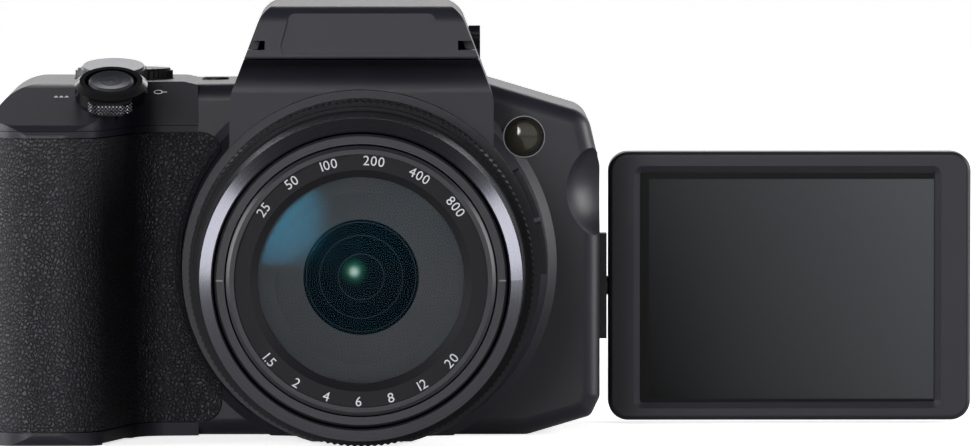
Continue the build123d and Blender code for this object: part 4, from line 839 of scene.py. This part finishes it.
@dataclass
class Housing:
    """The covers, the grip's rubber, the base and what is in them."""

    covers: tuple[str, ...] = ("front_cover", "rear_cover", "top_cover", "battery_door", "terminal_cover")
    steel: tuple[str, ...] = ("strap_bars", "base_screws", "hinge_pins", "terminal_jacks", "zoom_motor")
    lamp: Pair = (33.7, 62.2)
    bezel_outer: float = 4.38
    bezel_inner: float = 3.72
    # width and height of the painted highlight's pale ring on the bezel's outer edge
    bezel_edge: float = 0.22
    bezel_edge_high: float = 0.08
    bezel_proud: float = 0.95
    bezel_corners: int = 64

    def build(self) -> None:
        """Dress the covers and the pieces that they carry."""
        dress(dict.fromkeys(self.covers, BODY_ABS))
        dress(dict.fromkeys(self.steel, STEEL))
        dress({"rubber_grips": GRIP_RUBBER, "lamp_lens": LAMP_ACRYLIC, "base_plate": PRESSED_STEEL,
               "tripod_socket": SOCKET_STEEL, "inner_frame": PRESSED_STEEL, "battery": CELL_PLASTIC,
               "battery_box": SATIN_PC, "memory_card": CARD_PLASTIC, "circuit_boards": BOARD,
               "flash_capacitor": SLEEVE, "door_catch": SATIN_PC, "image_sensor": BOARD})
        self.lamp_bezel()

    def lamp_bezel(self) -> None:
        """A painted highlight as a pale ring on the edge of the bezel round the autofocus lamp, and painted
        shade as a black ring inside it.
        """
        x, z = self.lamp
        seat = Seat((x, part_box("lamp_lens")[0].y / MM - self.bezel_proud, z), *Facing.FRONT.value)
        step_outer = self.bezel_outer - self.bezel_edge
        # painted highlight: a pale ring on the bezel's outer edge
        edge = band(step_outer, self.bezel_outer, seat, 0.0, self.bezel_edge_high, self.bezel_corners)
        add_piece("lamp_bezel_painted_highlight", [edge], RIM_PAINTED_HIGHLIGHT, "root")
        # painted shade: a black ring between the lamp and the pale ring
        step = band(self.bezel_inner, step_outer, seat, 0.0, INK_THICK, self.bezel_corners)
        add_piece("lamp_bezel_painted_shade", [step], BLACK_PRINT_AND_PAINTED_SHADE, "root")


@dataclass
class Lens:
    """The lens: rings, barrels and glass, with the figures and index lines on them."""

    axis_z: float = 35.8
    figure_radius: float = 24.35
    figure_height: float = 1.95
    top_scale: str = "25  50  100  200  400  800"
    low_scale: str = "1.5  2  4  6  8  12  20"
    index_inner: float = 27.9
    index_outer: float = 29.3
    index_wide: float = 0.3
    index_high: float = 0.05
    pupil_rings: tuple[Pair, ...] = ((10.4, 0.1), (7.9, 0.1), (4.4, 0.14))   # outer radius and width
    pupil_lift: float = 0.2
    pupil_half_high: float = 0.05

    def front_of(self, node: str) -> float:
        """The foremost Y of a node, in millimetres."""
        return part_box(node)[0].y / MM

    def seat(self, y: float) -> Seat:
        """A seat across the lens axis at a Y in millimetres, facing forward."""
        return Seat((0.0, y, self.axis_z), *Facing.FRONT.value)

    def build(self) -> None:
        """Dress the lens and add its details."""
        # the lens tube and the ring round it take painted shade
        dress({"lens_housing": LENS_PC_PAINTED_SHADE, "lens_ring": LENS_PC_PAINTED_SHADE, "front_ring": RING_PAINT,
               "outer_barrel": BARREL_PC, "inner_barrel": BARREL_PC, "name_ring": NAME_PAINT,
               "front_lens": FRONT_GLASS, "lens_baffle": BAFFLE_PAINT, "second_lens": SECOND_GLASS,
               "lens_guide": SATIN_PC, "focus_group": SATIN_PC})
        self.scale()
        self.index_lines()
        self.pupil()

    def scale(self) -> None:
        """The plain numbers printed round the front glass."""
        seat = self.seat(self.front_of("name_ring"))
        top = figures_on_arc(self.top_scale, seat, self.figure_radius, self.figure_height, math.radians(90),
                             feet_out=False)
        low = figures_on_arc(self.low_scale, seat, self.figure_radius, self.figure_height, math.radians(-90),
                             feet_out=True)
        add_piece("ring_numbers", top + low, PRINT, "inner_barrel")

    def index_lines(self) -> None:
        """The two index lines on the first barrel's rim."""
        seat = self.seat(self.front_of("outer_barrel"))
        middle = (self.index_inner + self.index_outer) / 2
        length = self.index_outer - self.index_inner
        lines = [seat.prism(bar(length, self.index_wide, side * middle, 0.0), 0.0, self.index_high)
                 for side in (-1, 1)]
        add_piece("index_lines", lines, DIM_PRINT, "outer_barrel")

    def pupil(self) -> None:
        """The thin dark grey rings seen deep in the lens."""
        seat = self.seat(self.front_of("second_lens") + self.pupil_lift)
        rings = [band(radius - wide, radius, seat, -self.pupil_half_high, self.pupil_half_high)
                 for radius, wide in self.pupil_rings]
        add_piece("pupil_rings", rings, CELL_PLASTIC, "inner_barrel")


@dataclass(frozen=True)
class Symbol:
    """A plain symbol on a rear button: its place across and up, its outlines, and its ink."""

    x: float
    z: float
    outlines: list[Outline]
    ink: MouldedPlastic = DIM_PRINT


# the symbols by their buttons, in millimetres: a triangle, three lines, an i, a dot, a frame, three dots
SYMBOLS = {
    "playback_button": Symbol(-43.2, 46.0, [arrow(1.1)]),
    "menu_button": Symbol(-43.2, 11.0, [bar(2.2, 0.35, 0.0, y) for y in (-0.8, 0.0, 0.8)]),
    "info_button": Symbol(-68.6, 11.0, [bar(0.4, 1.5, 0.0, -0.3), disc(0.3, 0.0, 1.0)]),
    "movie_button": Symbol(-41.5, 66.3, [disc(0.9)], RED_PRINT),
    "frame_button": Symbol(-61.0, 66.3, [bar(0.3, 1.8, -1.1, 0.0), bar(0.3, 1.8, 1.1, 0.0),
                                         bar(1.9, 0.3, 0.0, -0.75), bar(1.9, 0.3, 0.0, 0.75)]),
    "lock_button": Symbol(-52.0, 66.3, [disc(0.28, x, 0.0, corners=12) for x in (-0.8, 0.0, 0.8)]),
}


@dataclass
class Controls:
    """Buttons, lever and dials, with their knurling and symbols."""

    satin: tuple[str, ...] = ("power_button", "framing_button_1", "framing_button_2", "movie_button",
                              "lock_button", "frame_button", "playback_button", "menu_button",
                              "info_button", "four_way_pad", "set_button", "dioptre_dial")
    lever: Point = (-51.5, -31.6, 71.03)
    lever_tilt: float = 24.0
    tab_reach: float = 9.3
    tab_half: float = 4.4
    tab_corner: float = 2.2
    knurl_pitch: float = 0.74
    knurl_share: float = 0.7
    knurl_high: float = 0.26
    knurl_low: float = 0.55
    knurl_top: float = 2.75     # the tab's upper edge above the deck
    mode_x: float = -49.8
    mode_y: float = 3.6
    mode_numbers_round: int = 8
    mode_number_radius: float = 7.9
    mode_number_height: float = 1.7
    rear_y: float = 27.7
    symbols: dict[str, Symbol] = field(default_factory=lambda: SYMBOLS)
    pad_x: float = -56.8
    pad_z: float = 28.2
    pad_arrow_radius: float = 7.6
    pad_arrow_size: float = 0.75
    near_mark: Pair = (9.6, 2.6)
    near_ring: Pair = (0.7, 0.95)
    near_ring_corners: int = 24
    near_handle: Pair = (0.9, 0.3)
    near_handle_x: float = 1.35
    wide_mark: Pair = (-11.4, 0.4)
    wide_mark_step: float = 1.1
    wide_mark_size: float = 0.55
    wide_mark_count: int = 3

    def build(self) -> None:
        """Dress the controls and add their details."""
        dress(dict.fromkeys(self.satin, SATIN_PC))
        dress({"shutter_button": SPUN_CAP, "zoom_lever": GLOSS_ABS, "front_dial": DIAL_CAP,
               "mode_dial": MODE_CAP})
        self.knurl()
        self.mode_numbers()
        self.rear_symbols()
        self.pad_arrows()
        self.zoom_marks()

    def lever_seat(self) -> Seat:
        """The seat of the lever on the sloping deck."""
        tilt = math.radians(self.lever_tilt)
        return Seat(self.lever, Facing.UP.value[0], (0.0, -math.sin(tilt), math.cos(tilt)))

    def tab_point(self, along: float) -> Point:
        """A point on the front of the lever's tab, and the angle that the face has turned there.

        Args:
            along: The distance along the face from its middle.

        Returns:
            Place across, place up, and the angle.
        """
        flat = self.tab_half - self.tab_corner
        if abs(along) <= flat:
            return along, -self.tab_reach, 0.0
        side = math.copysign(1.0, along)
        turn = min((abs(along) - flat) / self.tab_corner, math.pi / 2)
        return (side * (flat + self.tab_corner * math.sin(turn)),
                -self.tab_reach + self.tab_corner * (1 - math.cos(turn)), side * turn)

    def knurl(self) -> None:
        """Rows of small pyramids on the front of the lever's tab, in a paler metal than the lever as painted
        highlight.
        """
        seat = self.lever_seat()
        lever_top = (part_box("zoom_lever")[1].z / MM - self.lever[2]) / math.cos(math.radians(self.lever_tilt))
        half = self.knurl_pitch / 2
        reach = self.tab_half - self.tab_corner + self.tab_corner * math.pi / 2
        shapes = []
        for row in range(int((min(lever_top, self.knurl_top) - self.knurl_low) / half)):
            for column in range(int(2 * reach / half)):
                along = -reach + half * (column + 1)
                if (row + column) % 2 == 0 and abs(along) <= reach - half:
                    height = self.knurl_low + half * (row + 1)
                    shapes.append(self.pyramid(seat, along, height, half * self.knurl_share))
        # painted highlight: the pyramids take a paler metal than the lever
        add_piece("lever_knurl", shapes, KNURL_PAINTED_HIGHLIGHT, "zoom_lever")

    def pyramid(self, seat: Seat, along: float, height: float, half: float) -> Shape:
        """One pyramid that stands on its corner.

        Args:
            seat: The lever's seat.
            along: Its middle along the face.
            height: Its middle above the deck.
            half: Half its diagonal.

        Returns:
            The shape in metres.
        """
        corners = []
        for step, lift in ((-half, 0.0), (0.0, -half), (half, 0.0), (0.0, half)):
            x, y, _ = self.tab_point(along + step)
            corners.append(seat.at(x, y, height + lift))
        x, y, turn = self.tab_point(along)
        tip = seat.at(x + self.knurl_high * math.sin(turn), y - self.knurl_high * math.cos(turn), height)
        return corners + [tip], [(0, 1, 4), (1, 2, 4), (2, 3, 4), (3, 0, 4), (3, 2, 1, 0)]

    def mode_numbers(self) -> None:
        """Plain numbers round the mode dial."""
        seat = Seat((self.mode_x, self.mode_y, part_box("mode_dial")[1].z / MM), *Facing.UP.value)
        shapes = []
        for number in range(self.mode_numbers_round):
            angle = math.radians(360 / self.mode_numbers_round * number)
            shapes += figures_on_arc(str(number + 1), seat, self.mode_number_radius, self.mode_number_height,
                                     angle, feet_out=False)
        add_piece("dial_numbers", shapes, PRINT, "mode_dial")

    def rear_symbols(self) -> None:
        """Plain symbols on the rear buttons."""
        for button, symbol in self.symbols.items():
            seat = Seat((symbol.x, self.rear_y, symbol.z), *Facing.BACK.value)
            shapes = [seat.prism(outline, 0.0, INK_THICK) for outline in symbol.outlines]
            add_piece(f"{button}_symbol", shapes, symbol.ink, button)

    def pad_arrows(self) -> None:
        """Four arrows on the four-way pad."""
        seat = Seat((self.pad_x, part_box("four_way_pad")[1].y / MM, self.pad_z), *Facing.BACK.value)
        arrows = []
        for quarter in range(4):
            turn = math.radians(90 * quarter)
            x, y = self.pad_arrow_radius * math.cos(turn), self.pad_arrow_radius * math.sin(turn)
            arrows.append(seat.prism(arrow(self.pad_arrow_size, x, y, turn), 0.0, INK_THICK))
        add_piece("pad_arrows", arrows, DIM_PRINT, "four_way_pad")

    def zoom_marks(self) -> None:
        """The near and wide marks of the zoom lever: a magnifying ring, and three small triangles."""
        seat = self.lever_seat()
        near_seat = Seat(tuple(seat.at(*self.near_mark, 0.0) / MM), seat.right, seat.out)
        near = [band(*self.near_ring, near_seat, 0.0, INK_THICK, self.near_ring_corners),
                near_seat.prism(bar(*self.near_handle, self.near_handle_x, 0.0), 0.0, INK_THICK)]
        x, y = self.wide_mark
        wide = [seat.prism(arrow(self.wide_mark_size, x + self.wide_mark_step * step, y, math.radians(90)),
                           0.0, INK_THICK) for step in range(self.wide_mark_count)]
        add_piece("zoom_marks", near + wide, PRINT, "root")


@dataclass
class Screen:
    """The screen panel on its neck: the corners of its window and picture as it hangs open, in millimetres."""

    window: tuple[Pair, Pair] = ((58.7, 4.55), (120.9, 53.1))
    picture: tuple[Pair, Pair] = ((60.5, 5.2), (120.75, 51.7))

    def build(self) -> None:
        """Dress the panel and the neck."""
        dress({"screen_bezel": BODY_ABS, "screen_shell": BODY_ABS, "screen_glass": SCREEN_WINDOW,
               "screen_display": DISPLAY, "screen_neck": SATIN_PC})
        self.border()

    def border(self) -> None:
        """The black border printed on the window, round the picture."""
        seat = Seat((0.0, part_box("screen_glass")[0].y / MM, 0.0), *Facing.FRONT.value)
        (left, low), (right, high) = self.window
        (inner_left, inner_low), (inner_right, inner_high) = self.picture
        sides = [((left, low), (inner_left, high)), ((inner_right, low), (right, high)),
                 ((inner_left, low), (inner_right, inner_low)), ((inner_left, inner_high), (inner_right, high))]
        shapes = [seat.prism([(x0, z0), (x1, z0), (x1, z1), (x0, z1)], 0.0, INK_THICK)
                  for (x0, z0), (x1, z1) in sides]
        add_piece("screen_border", shapes, BLACK_PRINT_AND_PAINTED_SHADE, "screen")


@dataclass
class Crown:
    """The finder, the eyecup and the flash in the hump."""

    def build(self) -> None:
        """Dress the finder and the flash."""
        dress({"flash_head": BODY_ABS, "flash_window": FLASH_ACRYLIC, "flash_reflector": REFLECTOR,
               "eyecup": EYECUP_RUBBER, "eyepiece_lens": EYEPIECE_GLASS, "finder_housing": SATIN_PC})


@dataclass
class Studio:
    """Pale floor, white surroundings, soft lamps, and the camera."""

    floor_half: float = 6.0
    floor_seen: str = "#fbfbfb"
    floor_lit_by: str = "#7a7a7e"   # what it bounces onto the object
    floor_glow: float = 0.7
    aim: Point = (0.0259, 0.0, 0.0435)
    distance: float = 2.1
    elevation: float = 3.0
    azimuth: float = -0.5
    focal: float = 371.8
    sensor: float = 36.0
    clip: Pair = (0.1, 50.0)
    front_level: float = 0.95
    back_level: float = 0.3
    wall_span: Pair = (-0.6, 0.4)   # from where to where the walls dim towards the back
    roof_span: Pair = (0.2, 0.8)
    roof_share: float = 0.08
    soft_light: Point = (-0.315, -0.932, 0.178)
    soft_reach: float = 13.0
    soft_level: float = 22.0
    lamps: tuple[tuple[str, Point, float, float, float], ...] = (
        # name, place in metres, width, height, watts
        ("left_box", (-1.1, -0.15, 0.2), 0.7, 1.0, 17.0),
        ("right_box", (1.2, -0.15, 0.2), 0.7, 1.0, 18.0),
        ("back_high_box", (0.0, 1.0, 0.62), 1.6, 0.35, 4.0),
    )

    def build(self) -> None:
        """Make the stage, the lamps and the camera."""
        self.world()
        self.floor()
        for name, place, wide, tall, watts in self.lamps:
            self.lamp(name, Vector(place), wide, tall, watts)
        self.camera()

    def world(self) -> None:
        """White where it is looked at; to the object, pale walls, a dark ceiling and one soft round light."""
        world = bpy.data.worlds.new("studio")
        bpy.context.scene.world = world
        tree = empty_tree(world)
        place = add_node(tree, "ShaderNodeTexCoord").outputs["Generated"]
        parts = add_node(tree, "ShaderNodeSeparateXYZ", {}, {0: place})
        seen = add_node(tree, "ShaderNodeLightPath")
        wall = add_node(tree, "ShaderNodeMapRange",
                        {"From Min": self.wall_span[0], "From Max": self.wall_span[1],
                         "To Min": self.front_level, "To Max": self.back_level}, {"Value": parts.outputs["Y"]})
        mirrored = add_node(tree, "ShaderNodeMix", {"data_type": "FLOAT", FLOAT_B: 1.0},
                            {FACTOR: seen.outputs["Is Glossy Ray"], FLOAT_A: wall})
        roof = add_node(tree, "ShaderNodeMapRange",
                        {"interpolation_type": "SMOOTHSTEP", "From Min": self.roof_span[0],
                         "From Max": self.roof_span[1], "To Min": 1.0, "To Max": self.roof_share},
                        {"Value": parts.outputs["Z"]})
        room = add_node(tree, "ShaderNodeMath", {"operation": "MULTIPLY"}, {0: mirrored, 1: roof})
        toward = add_node(tree, "ShaderNodeVectorMath",
                          {"operation": "DOT_PRODUCT", 1: tuple(Vector(self.soft_light).normalized())},
                          {0: place})
        soft = add_node(tree, "ShaderNodeMapRange",
                        {"interpolation_type": "SMOOTHERSTEP",
                         "From Min": math.cos(math.radians(self.soft_reach)), "From Max": 1.0,
                         "To Min": 0.0, "To Max": self.soft_level}, {"Value": toward.outputs["Value"]})
        both = add_node(tree, "ShaderNodeMath", {"operation": "ADD"}, {0: room, 1: soft})
        level = add_node(tree, "ShaderNodeMix", {"data_type": "FLOAT", FLOAT_B: 1.0},
                         {FACTOR: self.open_view(tree, seen), FLOAT_A: both})
        sky = add_node(tree, "ShaderNodeBackground", {"Color": WHITE}, {"Strength": level})
        add_node(tree, "ShaderNodeOutputWorld", {}, {"Surface": sky})

    def open_view(self, tree: Tree, seen: Node) -> Node:
        """Tell whether the eye looks at something itself, or through glass.

        Args:
            tree: The node tree.
            seen: Its light path.

        Returns:
            The node that says so.
        """
        return add_node(tree, "ShaderNodeMath", {"operation": "MAXIMUM"},
                        {0: seen.outputs["Is Camera Ray"], 1: seen.outputs["Is Transmission Ray"]})

    def floor(self) -> None:
        """A pale floor that shows white to the camera and keeps a soft shadow."""
        half = self.floor_half
        mesh = bpy.data.meshes.new("floor")
        mesh.from_pydata([(-half, -half, 0), (half, -half, 0), (half, half, 0), (-half, half, 0)], [],
                         [(0, 1, 2, 3)])
        made = bpy.data.materials.new("paper_matt_white")
        tree = empty_tree(made)
        seen = add_node(tree, "ShaderNodeLightPath")
        open_view = self.open_view(tree, seen)
        looked_at = add_node(tree, "ShaderNodeMath", {"operation": "MAXIMUM"},
                             {0: open_view, 1: seen.outputs["Is Glossy Ray"]})
        tint = add_node(tree, "ShaderNodeMix",
                        {"data_type": "RGBA", COLOUR_A: linear(self.floor_lit_by),
                         COLOUR_B: linear(self.floor_seen)}, {FACTOR: looked_at})
        paper = add_node(tree, "ShaderNodeBsdfDiffuse", {}, {"Color": tint.outputs[COLOUR_RESULT]})
        level = add_node(tree, "ShaderNodeMath", {"operation": "MULTIPLY", 1: self.floor_glow}, {0: open_view})
        glow = add_node(tree, "ShaderNodeEmission", {"Color": WHITE}, {"Strength": level})
        both = add_node(tree, "ShaderNodeAddShader", {}, {0: paper, 1: glow})
        add_node(tree, "ShaderNodeOutputMaterial", {}, {"Surface": both})
        mesh.materials.append(made)
        floor = bpy.data.objects.new("floor", mesh)
        bpy.context.scene.collection.objects.link(floor)

    def lamp(self, name: str, place: Vector, wide: float, tall: float, watts: float) -> None:
        """A soft box that faces the object.

        Args:
            name: Its name.
            place: Its middle in metres.
            wide: Its width.
            tall: Its height.
            watts: Its power.
        """
        light = bpy.data.lights.new(name, "AREA")
        light.shape = "RECTANGLE"
        light.size, light.size_y, light.energy = wide, tall, watts
        box = bpy.data.objects.new(name, light)
        box.location = place
        box.rotation_mode = "QUATERNION"
        box.rotation_quaternion = (Vector(self.aim) - place).to_track_quat("-Z", "Y")
        box.visible_camera = False
        bpy.context.scene.collection.objects.link(box)

    def camera(self) -> None:
        """The camera at the photograph's angle."""
        lens = bpy.data.cameras.new("camera")
        lens.lens, lens.sensor_width = self.focal, self.sensor
        lens.clip_start, lens.clip_end = self.clip
        holder = bpy.data.objects.new("camera", lens)
        turn, rise = math.radians(self.azimuth), math.radians(self.elevation)
        back = Vector((math.sin(turn) * math.cos(rise), -math.cos(turn) * math.cos(rise), math.sin(rise)))
        holder.location = Vector(self.aim) + back * self.distance
        holder.rotation_mode = "QUATERNION"
        holder.rotation_quaternion = (-back).to_track_quat("-Z", "Y")
        bpy.context.scene.collection.objects.link(holder)
        bpy.context.scene.camera = holder
        bpy.context.scene.view_settings.view_transform = "Standard"


def main() -> None:
    """Dress every piece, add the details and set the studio."""
    logging.basicConfig(level=logging.INFO, format="%(name)s %(message)s")
    for part in (Housing(), Lens(), Controls(), Screen(), Crown()):
        part.build()
        log.info("%s done", type(part).__name__)
    Studio().build()


if __name__ == "__main__":
    main()
